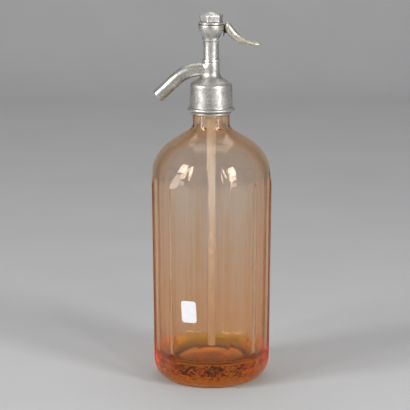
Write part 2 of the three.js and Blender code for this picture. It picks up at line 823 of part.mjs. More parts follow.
// The blackened steel fork and blade: prongs under the lift collar, an eye round the pin,
// a tail that runs in the lug's slot and a blade that the handle is cast round.
function leverTang() {
  const rodSide = forkPassage - pivotX;
  const eyeArc = ([from, to], steps) =>
    arc(0, 0, eyeRadius, Math.PI * from, Math.PI * to, steps);
  const armOutline = [
    [rodSide, -prongHalfHeight],
    ...eyeArc(eyeFootShares, 3),
    [lugFootReach + tailReach - tailThickness, -tailLength],
    [lugFootReach + tailReach, -tailLength],
    [lugReach + tailReach, -lugBend],
    [lugReach + tailReach, -bladeFoot],
    [bladeReach, -bladeFoot],
    [bladeReach, bladeTop],
    [bladeInner, bladeTop],
    ...eyeArc(eyeTopShares, 4),
    [rodSide, prongHalfHeight],
  ];
  const arm = plate(fromPivot(armOutline), forkThickness);
  const bottom = pivotZ - prongHalfHeight;
  const top = pivotZ + prongHalfHeight;
  const halfWide = forkPassage + prongWidth;
  const fork = box(-prongReach, forkPassage + crossBarLength, -halfWide, halfWide, bottom, top);
  const gapForRod = box(
    -prongReach - overrun,
    forkPassage,
    -forkPassage,
    forkPassage,
    bottom - overrun,
    top + overrun,
  );
  const pinHole = crossCylinder(pivotX, pivotZ, pinRadius + pinGap, forkThickness + overrun);
  return arm.add(fork).subtract(gapForRod).subtract(pinHole);
}

// The handle's middle line, from its root beside the ball to its tip.
function handleLine() {
  const at = ([x, z]) =>
    new THREE.Vector3(
      pivotX + handleStart + handleLength * x,
      0,
      pivotZ + handleRise - handleDrop * z,
    );
  return new THREE.CubicBezierCurve3(at([0, 0]), ...handleBendShares.map(at), at([1, 1]));
}

function leverHandle() {
  const line = handleLine();
  const rings = handleShares.map(([place, thickShare, wideShare]) => {
    const centre = line.getPoint(place);
    const along = line.getTangent(place);
    const up = new THREE.Vector3(0, -1, 0).cross(along).normalize();
    const halfThick = (handleThickness * thickShare) / 2;
    const halfWide = (handleWidth * wideShare) / 2;
    const hollow = thumbHollow * Math.sin(Math.PI * place) * thickShare;
    return Array.from({ length: handleSides }, (_, i) => {
      const a = (2 * Math.PI * i) / handleSides;
      const dip = Math.max(0, Math.sin(a)) ** 2 * hollow;
      const point = centre.clone().addScaledVector(up, halfThick * Math.sin(a) - dip);
      return point.setY(halfWide * Math.cos(a));
    });
  });
  const pocket = plate(
    fromPivot([
      [0, -bladeFoot - seatGap],
      [bladeReach + seatGap, -bladeFoot - seatGap],
      [bladeReach + seatGap, bladeTop + seatGap],
      [0, bladeTop + seatGap],
    ]),
    slotWidth,
  );
  return solid(skin(rings)).subtract(pocket);
}

function leverPin() {
  return crossCylinder(pivotX, pivotZ, pinRadius, lugWidth + 2 * pinHead);
}

// Colour, roughness and metalness of each material.
const finishes = {
  glass: [0xe0a070, 0.05, 0],
  clearGlass: [0xe8dcc8, 0.05, 0],
  pewter: [0xaaa9a4, 0.42, 0.9],
  blackSteel: [0x1d1b1a, 0.5, 0.6],
  steel: [0x8f8f8d, 0.35, 0.95],
  tin: [0xc2c1bb, 0.35, 0.9],
  rubber: [0x2a2623, 0.85, 0],
  leather: [0x6a4a30, 0.8, 0],
};

const siphon = new THREE.Group();

function add(name, manifold, finish) {
  const [color, roughness, metalness] = finishes[finish];
  const material = new THREE.MeshStandardMaterial({ color, roughness, metalness });
  const mesh = new THREE.Mesh(geometryOf(manifold), material);
  mesh.name = name;
  siphon.add(mesh);
}

add("bottle", bottle(), "glass");
add("split_ring_front", splitRing(-1), "tin");
add("split_ring_back", splitRing(1), "tin");
add("neck_gasket", neckGasket(), "rubber");
add("dip_tube", dipTube(), "clearGlass");
add("tube_seal", tubeSeal(), "rubber");
add("tube_nut", tubeNut(), "tin");
add("head_body", headBody(), "pewter");
add("spout", spout(), "pewter");
add("valve_seat", valveSeat(), "tin");
add("valve_washer", valveWasher(), "rubber");
add("valve_rod", valveRod(), "steel");
add("column_gasket", columnGasket(), "leather");
add("valve_column", valveColumn(), "pewter");
add("rod_packing", rodPacking(), "leather");
add("packing_nut", packingNut(), "tin");
add("lift_collar", liftCollar(), "steel");
add("rod_nut", rodNut(), "steel");
add("return_spring", returnSpring(), "steel");
add("cap_washer", capWasher(), "leather");
add("top_cap", topCap(), "pewter");
add("lever_pin", leverPin(), "blackSteel");
add("lever_tang", leverTang(), "blackSteel");
add("lever_handle", leverHandle(), "pewter");

export default siphon;
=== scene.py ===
"""A lever soda siphon: a panelled bottle of peach glass under a worn pewter head.

Metres, +Z up, the spout along -X and the lever along +X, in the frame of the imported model.
Each visible piece is turned, swept or lofted here at a finer grain than the solid it stands for.
Its sizes and places are in millimetres, and piece() turns them into metres. The studio's are
in metres.
"""
import math
from itertools import product

import bmesh
import bpy
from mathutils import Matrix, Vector, noise


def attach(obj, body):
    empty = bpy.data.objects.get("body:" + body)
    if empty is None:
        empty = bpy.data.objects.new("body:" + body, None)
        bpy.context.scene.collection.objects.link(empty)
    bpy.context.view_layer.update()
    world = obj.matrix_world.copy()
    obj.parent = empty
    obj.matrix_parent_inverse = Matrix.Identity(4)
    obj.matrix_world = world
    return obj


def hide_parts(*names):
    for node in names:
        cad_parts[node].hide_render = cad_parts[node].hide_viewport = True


MM = 0.001
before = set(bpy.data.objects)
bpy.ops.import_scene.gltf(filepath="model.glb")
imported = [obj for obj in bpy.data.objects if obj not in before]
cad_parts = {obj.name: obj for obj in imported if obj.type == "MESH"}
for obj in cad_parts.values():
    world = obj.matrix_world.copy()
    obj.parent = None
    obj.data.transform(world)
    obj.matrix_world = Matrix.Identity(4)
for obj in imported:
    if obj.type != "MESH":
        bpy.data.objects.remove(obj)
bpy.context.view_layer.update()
BODY, LEVER = "siphon_body", "lever"

# Sizes that several pieces share, as the solids have them
PIVOT = (7.6, 290.5)
RIDGE_ANGLE = math.radians(17)
PANELS = 12
TOP_SLOPE = math.radians(30)
BELL_TOP = 249.3
COLUMN = 7.0
FLARE = 6.5
FLARE_TOP = 257.33
SPOUT_Z = 259.2
SPOUT_RADIUS = 5.5
SPOUT_BORE = 3.3
BOWL_RIM = 295.67


# Shader maths


class Value:
    """A number or colour that varies over a surface. Its operators add Math nodes."""

    def __init__(self, finish, socket):
        self.finish = finish
        self.socket = socket

    def __add__(self, other):
        return self.finish.maths("ADD", self, other)

    def __radd__(self, other):
        return self.finish.maths("ADD", other, self)

    def __sub__(self, other):
        return self.finish.maths("SUBTRACT", self, other)

    def __rsub__(self, other):
        return self.finish.maths("SUBTRACT", other, self)

    def __mul__(self, other):
        return self.finish.maths("MULTIPLY", self, other)

    def __rmul__(self, other):
        return self.finish.maths("MULTIPLY", other, self)

    def clamped(self):
        return self.finish.node("ShaderNodeClamp", {}, {"Value": self})["Result"]

    def between(self, low, high):
        """0 where the value is below low, 1 where it is above high, and smooth between."""
        settings = {"interpolation_type": "SMOOTHSTEP"}
        inputs = {"Value": self, "From Min": low, "From Max": high}
        return self.finish.node("ShaderNodeMapRange", settings, inputs)["Result"]


class Node:
    """A shader node, whose outputs are read as values by their name or number."""

    def __init__(self, finish, made):
        self.finish = finish
        self.made = made

    def __getitem__(self, key):
        return Value(self.finish, self.made.outputs[key])


def socket_names(named):
    """Keywords as the names of sockets."""
    return {key.replace("_", " "): value for key, value in named.items()}


# A Mix node's colour sockets go by number, because they share their names with others
MIX_FACTOR, MIX_LOW, MIX_HIGH, MIX_RESULT = 0, 6, 7, 2


class Finish:
    """A material under construction: one Principled shader and the nodes that feed it."""

    def __init__(self, name, **uniform):
        self.material = bpy.data.materials.new(name)
        self.material.use_nodes = True
        self.tree = self.material.node_tree
        self.tree.nodes.clear()
        self.shader = self.node("ShaderNodeBsdfPrincipled", {}, socket_names(uniform))
        self.output = self.node("ShaderNodeOutputMaterial", {}, {"Surface": self.shader["BSDF"]})
        self.place = self.node("ShaderNodeTexCoord", {}, {})["Object"]

    def node(self, kind, settings, inputs):
        """A new node. Its inputs are numbers, colours or values, by a socket's name or number."""
        made = self.tree.nodes.new(kind)
        for key, value in settings.items():
            setattr(made, key, value)
        for key, value in inputs.items():
            self.feed(made.inputs[key], value)
        return Node(self, made)

    def feed(self, socket, value):
        if isinstance(value, Value):
            self.tree.links.new(value.socket, socket)
        elif socket.type == "RGBA":
            socket.default_value = (*value, 1)
        else:
            socket.default_value = value

    def maths(self, operation, *operands):
        settings = {"operation": operation}
        return self.node("ShaderNodeMath", settings, dict(enumerate(operands)))["Value"]

    def mix(self, factor, low, high):
        """A colour that is low where the factor is 0 and high where it is 1."""
        inputs = {MIX_FACTOR: factor, MIX_LOW: low, MIX_HIGH: high}
        return self.node("ShaderNodeMix", {"data_type": "RGBA"}, inputs)[MIX_RESULT]

    def noise(self, scale, detail=3, stretch=(1, 1, 1), distortion=0.0):
        """Noise with features of about scale millimetres, longer where stretch is below 1."""
        sized = tuple(s / (scale * MM) for s in stretch)
        settings = {"operation": "MULTIPLY"}
        place = self.node("ShaderNodeVectorMath", settings, {0: self.place, 1: sized})["Vector"]
        inputs = {"Vector": place, "Scale": 1, "Detail": detail, "Distortion": distortion}
        return self.node("ShaderNodeTexNoise", {}, inputs)["Fac"]

    def spots(self, scale):
        """Distance to the nearest of scattered points about scale millimetres apart."""
        inputs = {"Vector": self.place, "Scale": 1 / (scale * MM)}
        return self.node("ShaderNodeTexVoronoi", {}, inputs)["Distance"]

    def above(self, low, high):
        """0 below the height low and 1 above the height high, in millimetres."""
        height = self.node("ShaderNodeSeparateXYZ", {}, {"Vector": self.place})["Z"]
        return height.between(low * MM, high * MM)

    def ridges(self, count, start):
        """1 along each of so many lines of longitude, the first at angle start, and -1 between."""
        apart = self.node("ShaderNodeSeparateXYZ", {}, {"Vector": self.place})
        around = self.maths("ARCTAN2", apart["X"], 0 - apart["Y"])
        return self.maths("COSINE", (around - start) * count)

    def glancing(self, low, high):
        """0 where the surface faces the eye and 1 where it turns away from it."""
        weight = self.node("ShaderNodeLayerWeight", {}, {"Blend": 0.5})
        return weight["Facing"].between(low, high)

    def edges(self):
        """High on convex edges and low in hollows."""
        return self.node("ShaderNodeNewGeometry", {}, {})["Pointiness"]

    def bump(self, value, strength, distance):
        """A normal bent by a value, as if it were a height of up to distance millimetres."""
        inputs = {"Strength": strength, "Distance": distance * MM, "Height": value}
        return self.node("ShaderNodeBump", {}, inputs)["Normal"]

    def tint_depth(self, colour, density):
        """Colours the light that passes through, more where the glass is thicker."""
        inputs = {"Color": colour, "Density": density}
        volume = self.node("ShaderNodeVolumeAbsorption", {}, inputs)["Volume"]
        self.feed(self.output.made.inputs["Volume"], volume)

    def finished(self, **varying):
        for name, value in socket_names(varying).items():
            self.feed(self.shader.made.inputs[name], value)
        return self.material


# Finishes

# Heights between which the bottle's finish and its painted glow change
BASE_GLASS = (12, 30)
PANELS_END = (140, 170)
WHOLE_BODY = (0, 210)
NECK_FOOT = (194, 210)
NECK_SIDES = (200, 212)


def bottle_glass():
    """Pressed glass, peach where thin and deep orange where thick, with a wavy skin. Its colour
    holds painted glow too: warmer low down and at the neck, deep orange in the base and orange at
    the edges, with painted shade in brown at the neck's sides.
    """
    pale, warm = (1.0, 0.96, 1.0), (0.94, 0.7, 0.54)
    # Colours of painted glow and shade: orange for the edges, brown for the neck's sides, deep
    # orange for the base.
    edge_glow_orange, neck_edge_shade, base_glow_orange = (1.0, 0.6, 0.36), (0.72, 0.36, 0.2), (1.0, 0.74, 0.02)
    made = Finish(
        "bottle_glass",
        IOR=1.5,
        Transmission_Weight=1.0,
        Specular_IOR_Level=0.4,
        Specular_Tint=(1.0, 0.87, 0.74),
    )
    made.tint_depth((0.98, 0.77, 0.3), 60)
    low = 1 - made.above(*BASE_GLASS)
    straight = 1 - made.above(*PANELS_END)
    wave = made.noise(26, 2, (1, 1, 0.3))
    ripple = made.noise(7, 2, (1, 1, 0.25))
    drawn = made.noise(3.2, 2, (1, 1, 0.03))
    threads = made.noise(1.0, 3, (1, 1, 0.012)) - 0.5
    ridges = made.ridges(PANELS, RIDGE_ANGLE).between(0.9, 1.0)
    facets = made.noise(3.2, 2, (1, 1, 0.7)) * low
    scuff = made.noise(1.6, 5, (1, 1, 0.6)).between(0.62, 0.76)
    skin_wave = wave * (straight * 0.7 + 0.1) + ripple * 0.06 + facets * 1.7
    skin_wave = skin_wave + (drawn * 0.22 + ridges * 0.15 + threads * 0.1) * straight
    streaks = (drawn - 0.5) * 0.9 + threads * 1.6 + ridges * 0.3
    # Painted glow, warmer towards the foot and at the neck, over the glass's own streaks.
    streaks_and_glow = 1 - made.above(*WHOLE_BODY) + streaks * straight + made.above(*NECK_FOOT) * 0.4
    # Painted glow at the edges, where the surface turns away from the eye.
    rim = made.glancing(0.3, 0.8)
    tint_and_glow = made.mix(streaks_and_glow.clamped(), pale, warm)
    tint_and_glow = made.mix(rim, tint_and_glow, edge_glow_orange)
    # Painted shade: brown at the neck's sides.
    tint_and_glow = made.mix(rim * made.above(*NECK_SIDES), tint_and_glow, neck_edge_shade)
    # Painted glow: deep orange in the base.
    return made.finished(
        Base_Color=made.mix(low, tint_and_glow, base_glow_orange),
        Roughness=0.012 + scuff * (low * 0.12 + 0.02),
        Normal=made.bump(skin_wave, 0.35, 1.2),
    )


def tube_glass():
    """The dip tube's glass, clouded cream by years of hard water."""
    made = Finish("tube_glass", IOR=1.5, Transmission_Weight=0.12)
    drawn = made.noise(5, 2, (1, 1, 0.05))
    film = made.noise(9, 4, (1, 1, 0.4)).between(0.45, 0.7)
    return made.finished(
        Base_Color=made.mix(film, (0.97, 0.94, 0.88), (0.9, 0.84, 0.74)),
        Roughness=0.12 + film * 0.2,
        Normal=made.bump(drawn, 0.2, 0.4),
    )


def lit(colour, light):
    """A colour made lighter or darker, one channel at a time."""
    return tuple(min(1, c * share) for c, share in zip(colour, light))


def pewter(name, light=(1, 1, 1), pitting=1.0):
    """Old cast pewter: dull grey bloom, bright rubbed edges, grime and painted shade in its
    hollows, pits and small knocks.
    """
    bloom = lit((0.38, 0.37, 0.345), light)
    clean = lit((0.76, 0.74, 0.69), light)
    bright = lit((0.92, 0.9, 0.85), light)
    grime_and_shade, pit = (0.1, 0.095, 0.085), (0.09, 0.085, 0.08)
    made = Finish(name, Metallic=1.0)
    cloud = made.noise(9, 5, distortion=0.4)
    grain = made.noise(1.7, 4)
    knocks = made.noise(3.2, 2)
    pits = 1 - made.spots(1.9).between(0.0, 0.34)
    pitted = pits * made.noise(6, 3).between(0.5, 0.66) * pitting
    rubbed = made.edges().between(0.505, 0.56)
    hollow = 1 - made.edges().between(0.43, 0.495)
    dulled = cloud.between(0.36, 0.64) * 0.5 + grain.between(0.4, 0.6) * 0.45
    colour = made.mix(dulled.clamped(), clean, bloom)
    colour = made.mix(rubbed * 0.8, colour, bright)
    # Grime and painted shade: near black in the hollows.
    colour = made.mix(hollow * 0.75, colour, grime_and_shade)
    colour = made.mix(pitted * 0.75, colour, pit)
    rough = 0.27 + cloud * 0.2 + grain * 0.08 + pitted * 0.25 - rubbed * 0.1
    surface = grain * 0.5 + knocks * 0.9 - pitted * 0.8
    return made.finished(
        Base_Color=colour,
        Roughness=rough.clamped(),
        Normal=made.bump(surface, 0.8, 0.2),
    )


def turned_tin():
    """Tinned brass with the fine rings of the lathe."""
    made = Finish("turned_tin", Metallic=1.0)
    rings = made.noise(0.5, 2, (0.05, 0.05, 1))
    cloud = made.noise(6, 4)
    return made.finished(
        Base_Color=made.mix(cloud, (0.66, 0.65, 0.61), (0.42, 0.41, 0.39)),
        Roughness=0.3 + cloud * 0.25,
        Normal=made.bump(rings, 0.3, 0.05),
    )


def black_steel():
    """Blackened steel, near black as painted shade where it sits in the lever's slot, brown where
    the black has worn through.
    """
    made = Finish("black_steel", Metallic=0.6)
    rust = made.noise(2.5, 5).between(0.56, 0.7)
    grain = made.noise(0.5, 3)
    return made.finished(
        # Near black: blackened steel and painted shade in the slot.
        Base_Color=made.mix(rust, (0.012, 0.011, 0.01), (0.06, 0.034, 0.02)),
        Roughness=0.42 + rust * 0.3,
        Normal=made.bump(grain, 0.4, 0.06),
    )


def drawn_steel():
    """Steel rod and wire with long drawing lines."""
    made = Finish("drawn_steel", Metallic=1.0)
    lines = made.noise(0.4, 2, (1, 1, 0.04))
    cloud = made.noise(5, 3)
    return made.finished(
        Base_Color=made.mix(cloud, (0.56, 0.56, 0.56), (0.38, 0.37, 0.36)),
        Roughness=0.25 + cloud * 0.2,
        Normal=made.bump(lines, 0.25, 0.04),
    )


def old_rubber():
    """Hard dark rubber with a grey bloom."""
    made = Finish("old_rubber")
    cloud = made.noise(3, 4)
    return made.finished(
        Base_Color=made.mix(cloud, (0.05, 0.046, 0.042), (0.12, 0.11, 0.1)),
        Roughness=0.7 + cloud * 0.2,
        Normal=made.bump(made.noise(0.5, 3), 0.4, 0.05),
    )


def greased_leather():
    """Dark leather, pebbled and shiny with grease."""
    made = Finish("greased_leather")
    cloud = made.noise(2, 4)
    return made.finished(
        Base_Color=made.mix(cloud, (0.05, 0.035, 0.025), (0.09, 0.06, 0.04)),
        Roughness=0.5 + cloud * 0.3,
        Normal=made.bump(made.spots(0.6), 0.5, 0.08),
    )


def label_paper():
    """White paper with a little grey in its fibres."""
    made = Finish("label_paper")
    fibre = made.noise(0.35, 4)
    cloud = made.noise(5, 3)
    return made.finished(
        Base_Color=made.mix(cloud.between(0.35, 0.75), (0.88, 0.87, 0.92), (0.82, 0.81, 0.85)),
        Roughness=0.62 + fibre * 0.15,
        Normal=made.bump(fibre, 0.3, 0.03),
    )


def studio_card():
    """Pale card for the floor and the backdrop in one."""
    made = Finish("studio_card", Specular_IOR_Level=0.2)
    cloud = made.noise(120, 3)
    fine = made.noise(2.5, 4)
    return made.finished(
        Base_Color=made.mix(cloud, (0.48, 0.48, 0.485), (0.53, 0.53, 0.535)),
        Roughness=0.75 + fine * 0.1,
        Normal=made.bump(fine, 0.15, 0.2),
    )


# Points and outlines


def held(value):
    """A value kept between 0 and 1."""
    return min(1, max(0, value))


def arc(x, y, radius, start, end, steps):
    """Points of an arc about (x, y), both ends included."""
    angles = [start + (end - start) * i / steps for i in range(steps + 1)]
    return [(x + radius * math.cos(a), y + radius * math.sin(a)) for a in angles]


def circle(x, y, radius, sides):
    return arc(x, y, radius, 0, 2 * math.pi, sides)[1:]


def line(start, end, steps):
    """Points from start to end, without start."""
    return [
        tuple(s + (e - s) * i / steps for s, e in zip(start, end)) for i in range(1, steps + 1)
    ]


def rounded(profile, radius):
    """A closed profile with each corner rounded by up to radius. A nearly flat one stays."""
    steps = 3
    longest_share = 0.45
    nearly_flat = math.radians(160)
    made = []
    for i, corner in enumerate(profile):
        at = Vector(corner)
        before = Vector(profile[i - 1]) - at
        after = Vector(profile[(i + 1) % len(profile)]) - at
        if before.angle(after) > nearly_flat:
            made.append(tuple(at))
            continue
        reach = min(radius, before.length * longest_share, after.length * longest_share)
        start = at + before.normalized() * reach
        end = at + after.normalized() * reach
        for j in range(steps + 1):
            t = j / steps
            made.append(tuple(start * (1 - t) ** 2 + at * 2 * t * (1 - t) + end * t**2))
    return made


# Meshes


def skin(rings, closed=False):
    """Vertices and faces of a skin over rings of points. A closed one ends at its first ring."""
    count = len(rings[0])
    faces = []
    for i in range(len(rings) if closed else len(rings) - 1):
        low, high = i * count, (i + 1) % len(rings) * count
        for j in range(count):
            k = (j + 1) % count
            faces.append((low + j, low + k, high + k, high + j))
    return [point for ring in rings for point in ring], faces


def turned_rings(profile, sides, start=0.0, shape=None):
    """One ring round Z for each [radius, height] of a profile. shape changes a radius."""
    rings = []
    for r, z in profile:
        ring = []
        for j in range(sides):
            angle = start + 2 * math.pi * j / sides
            radius = shape(r, angle, z) if shape else r
            ring.append((radius * math.sin(angle), -radius * math.cos(angle), z))
        rings.append(ring)
    return rings


def lathe_mesh(profile, sides, start=0.0, shape=None):
    """A turned profile. One that starts on the axis ends there too, and any other is closed."""
    on_axis = profile[0][0] == 0
    return skin(turned_rings(profile, sides, start, shape), closed=not on_axis)


def sweep_mesh(rings):
    """A skin over rings of points, with a face over each end."""
    vertices, faces = skin(rings)
    count = len(rings[0])
    faces.append(tuple(reversed(range(count))))
    faces.append(tuple(range(len(vertices) - count, len(vertices))))
    return vertices, faces


def slab_faces(count):
    """Faces of a slab between two outlines of count points each."""
    faces = [tuple(range(count)), tuple(reversed(range(count, 2 * count)))]
    for i in range(count):
        j = (i + 1) % count
        faces.append((i, j, count + j, count + i))
    return faces


def plate_mesh(outline, thickness):
    """An [x, z] outline as a plate whose middle is at y = 0."""
    vertices = [(x, side * thickness / 2, z) for side in (-1, 1) for x, z in outline]
    return vertices, slab_faces(len(outline))


def box_mesh(low, high):
    faces = [(0, 1, 3, 2), (4, 6, 7, 5), (0, 4, 5, 1), (2, 3, 7, 6), (0, 2, 6, 4), (1, 5, 7, 3)]
    return list(product(*zip(low, high))), faces


def bar_mesh(radius, x0, x1):
    """A round bar along the spout's bore, from x0 to x1."""
    sides = 48
    section = circle(0, 0, radius, sides)
    return sweep_mesh([[(x, y, SPOUT_Z + rise) for y, rise in section] for x in (x0, x1)])


# Pieces


def piece(name, vertices, faces, material, body, replaced=(), sharp=35):
    """A smooth-shaded piece from vertices in millimetres, riding on a body."""
    same_place = 1e-7
    mesh = bpy.data.meshes.new(name)
    mesh.from_pydata([tuple(c * MM for c in v) for v in vertices], [], faces)
    mesh.validate()
    work = bmesh.new()
    work.from_mesh(mesh)
    bmesh.ops.remove_doubles(work, verts=work.verts, dist=same_place)
    bmesh.ops.recalc_face_normals(work, faces=work.faces)
    work.to_mesh(mesh)
    work.free()
    mesh.materials.append(material)
    made = bpy.data.objects.new(name, mesh)
    bpy.context.scene.collection.objects.link(made)
    smooth(made, sharp)
    if body:
        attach(made, body)
    if replaced:
        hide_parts(*replaced)
    return made


def tool(vertices, faces):
    """A loose mesh that only cuts or joins."""
    return piece("tool", vertices, faces, PEWTER, None)


def smooth(made, sharp):
    """Smooth shading, but for edges sharper than so many degrees."""
    for face in made.data.polygons:
        face.use_smooth = True
    made.data.set_sharp_from_angle(angle=math.radians(sharp))


def applied(made):
    """Applies all modifiers of a piece to its mesh."""
    graph = bpy.context.evaluated_depsgraph_get()
    mesh = bpy.data.meshes.new_from_object(made.evaluated_get(graph))
    made.modifiers.clear()
    made.data = mesh


def combine(made, other, operation):
    """Cuts other out of a piece, or joins it on, and removes other."""
    modifier = made.modifiers.new(operation.lower(), "BOOLEAN")
    modifier.operation = operation
    modifier.solver = "EXACT"
    modifier.object = other
    applied(made)
    bpy.data.objects.remove(other)


def bevelled(made, width, segments, angle):
    """Rounds a piece's edges by width millimetres where they turn by more than angle degrees."""
    modifier = made.modifiers.new("bevel", "BEVEL")
    modifier.width = width * MM
    modifier.segments = segments
    modifier.limit_method = "ANGLE"
    modifier.angle_limit = math.radians(angle)
    applied(made)
    smooth(made, angle)
    return made


def worn(made, depth, scale, seed):
    """Moves the surface in and out by up to depth millimetres, as casting and knocks do."""
    for vertex in made.data.vertices:
        place = vertex.co / (scale * MM) + Vector((seed, seed, seed))
        vertex.co += vertex.normal * noise.noise(place) * depth * MM
    return made


def dent(made, centre, radius, depth):
    """Presses a small knock into the surface."""
    at = Vector(centre) * MM
    for vertex in made.data.vertices:
        away = (vertex.co - at).length / (radius * MM)
        if away < 1:
            vertex.co -= vertex.normal * depth * MM * (1 - away * away) ** 2


# Bottle

# Radii are at the ridges, and the panels are pressed in from there
BODY_RADIUS = 51
HEEL_TOP = 49.6
HEEL_HEIGHT = 22
FOOT = 35
FOOT_RING = 6
PUSH_UP = 1.5
WALL = 5.2
FLOOR = 20
INNER_HEEL = 9
SHOULDER_START = 166
SHOULDER_RADIUS = 42
SHOULDER_SLOPE = math.radians(30)
NECK_FILLET = 8
NECK = 15.1
NECK_TOP = 222.3
GROOVE = 11.9
LIP = 13.7
LIP_START = 233
LIP_TOP = 240.5
EASED_EDGE = 0.8

# How round the ridges are, outside and inside, and how far the inside follows the panels
RIDGE_ROUND = 3
INNER_ROUND = 9
INNER_FOLLOW = 0.5

# How softly the panels end in arches on the shoulder
ARCH_SOFTNESS = 1.6
ARCH_SPREAD = 0.25

# How the inside wanders, and where it fades into the plain shoulder and floor
WANDER = 0.35
WANDER_LENGTH = 55
INSIDE_FADE_TOP = SHOULDER_START + 14
INSIDE_FADE = 20
FLOOR_FADE = 8


def shoulder(inset):
    """The glass profile from the shoulder's start to the neck, moved inwards by inset."""
    lean = math.pi / 2 - SHOULDER_SLOPE
    centre = BODY_RADIUS - SHOULDER_RADIUS
    round_part = arc(centre, SHOULDER_START, SHOULDER_RADIUS - inset, 0, lean, 28)
    fillet = NECK_FILLET + inset
    fillet_x = NECK + NECK_FILLET
    foot_x = fillet_x - fillet * math.cos(lean)
    cone_x, cone_z = round_part[-1]
    foot_z = cone_z + (cone_x - foot_x) * math.tan(SHOULDER_SLOPE)
    fillet_z = foot_z + fillet * math.sin(lean)
    turn = arc(fillet_x, fillet_z, fillet, math.pi + lean, math.pi, 12)
    cone = line((cone_x, cone_z), turn[0], 6)
    return round_part + cone[:-1] + turn


def ridge_radius(z):
    """How far out the ridges stand on the tapered body."""
    taper = (z - HEEL_HEIGHT) / (SHOULDER_START - HEEL_HEIGHT)
    return HEEL_TOP + (BODY_RADIUS - HEEL_TOP) * taper


def panel_share(angle, ridge_round):
    """How far a panelled section stands in from its ridges at an angle, as a share."""
    half = math.pi / PANELS
    turns = (angle - RIDGE_ANGLE) / (2 * half)
    from_ridge = abs(turns - round(turns)) * 2 * half
    apothem = BODY_RADIUS * math.cos(half)
    centre = (apothem - ridge_round) / math.cos(half)
    foot = math.atan2(ridge_round * math.sin(half), centre + ridge_round * math.cos(half))
    if from_ridge > foot:
        return math.cos(half) / math.cos(half - from_ridge)
    across = centre * math.sin(from_ridge)
    return (centre * math.cos(from_ridge) + math.sqrt(ridge_round**2 - across**2)) / BODY_RADIUS


def panelled(r, angle, z):
    """The outside's radius with the panels pressed in."""
    if r == 0:
        return 0
    share = panel_share(angle, RIDGE_ROUND)
    if z < HEEL_HEIGHT:
        return r * (1 + (share - 1) * z / HEEL_HEIGHT)
    softness = min(ARCH_SOFTNESS, max(0, z - SHOULDER_START) * ARCH_SPREAD)
    gap = r - min(BODY_RADIUS, ridge_radius(z)) * share
    return r - (gap + math.hypot(gap, softness)) / 2


def blown(r, angle, z):
    """The inside's radius, which follows the panels in part and wanders a little."""
    if r == 0:
        return 0
    follow = (panel_share(angle, INNER_ROUND) - 1) * INNER_FOLLOW
    place = Vector((math.sin(angle) * 2, math.cos(angle) * 2, z / WANDER_LENGTH))
    grown = held((INSIDE_FADE_TOP - z) / INSIDE_FADE) * held((z - FLOOR) / FLOOR_FADE)
    return r * (1 + follow * grown) + noise.noise(place) * WANDER * grown


def outside_profile():
    """From the middle of the foot, over body, neck and lip, to the mouth."""
    heel = [
        (FOOT + (HEEL_TOP - FOOT) * x, HEEL_HEIGHT * (1 + z))
        for x, z in arc(0, 0, 1, -math.pi / 2, 0, 20)
    ]
    ring_inner = FOOT - FOOT_RING
    mouth = NECK - WALL
    return [
        (0, PUSH_UP + 0.6),
        (12, PUSH_UP + 0.5),
        (ring_inner - 4, PUSH_UP),
        (ring_inner - 1.6, PUSH_UP * 0.8),
        (ring_inner, 0),
        ((ring_inner + FOOT) / 2, 0),
        *heel,
        *line(heel[-1], (BODY_RADIUS, SHOULDER_START), 18)[:-1],
        *shoulder(0),
        (NECK, NECK_TOP - EASED_EDGE),
        (NECK - 0.25, NECK_TOP - 0.25),
        (NECK - EASED_EDGE, NECK_TOP),
        (GROOVE, NECK_TOP),
        (GROOVE, LIP_START),
        (LIP - EASED_EDGE, LIP_START),
        (LIP, LIP_START + EASED_EDGE),
        (LIP, LIP_TOP - EASED_EDGE),
        (LIP - EASED_EDGE, LIP_TOP),
        (mouth + EASED_EDGE, LIP_TOP),
        (mouth, LIP_TOP - EASED_EDGE),
    ]


def inside_profile():
    """From the neck down to the middle of the inner floor, which heaves a little."""
    inner_heel_x = HEEL_TOP - WALL - INNER_HEEL
    return [
        *reversed(shoulder(WALL)),
        *reversed(arc(inner_heel_x, FLOOR + INNER_HEEL, INNER_HEEL, -math.pi / 2, 0, 10)),
        (inner_heel_x * 0.75, FLOOR - 0.5),
        (inner_heel_x * 0.4, FLOOR + 0.2),
        (0, FLOOR + 0.8),
    ]


def bottle():
    sides = PANELS * 18
    outside = turned_rings(outside_profile(), sides, RIDGE_ANGLE, panelled)
    inside = turned_rings(inside_profile(), sides, RIDGE_ANGLE, blown)
    return piece("bottle_of_glass", *skin(outside + inside), GLASS, BODY, ["bottle"], 50)


def tube_of_glass():
    """The dip tube, with fire-polished ends."""
    bottom, top = FLOOR + 6, 245.2
    bore, radius = 2.4, 4
    section = rounded([(bore, bottom), (radius, bottom), (radius, top), (bore, top)], 0.7)
    return piece("tube_of_glass", *lathe_mesh(section, 64), TUBE, BODY, ["dip_tube"], 60)


def split_ring(which, start):
    """One half of the threaded ring under the glass lip, from an angle onwards."""
    inner, outer, flange = GROOVE + 0.3, 15.4, 16.4
    bottom, top = NECK_TOP + 0.3, LIP_START - 0.3
    flange_top = bottom + 2.2
    section = rounded(
        [
            (inner, bottom),
            (flange, bottom),
            (flange, flange_top),
            (outer, flange_top),
            (outer, top),
            (inner, top),
        ],
        0.3,
    )
    steps = 60
    split = 0.008
    turn = math.pi * 0.995
    rings = []
    for j in range(steps + 1):
        angle = start + split + turn * j / steps
        rings.append([(r * math.cos(angle), r * math.sin(angle), z) for r, z in section])
    return piece("split_ring_half_" + which, *sweep_mesh(rings), TIN, BODY, ["split_ring_" + which])


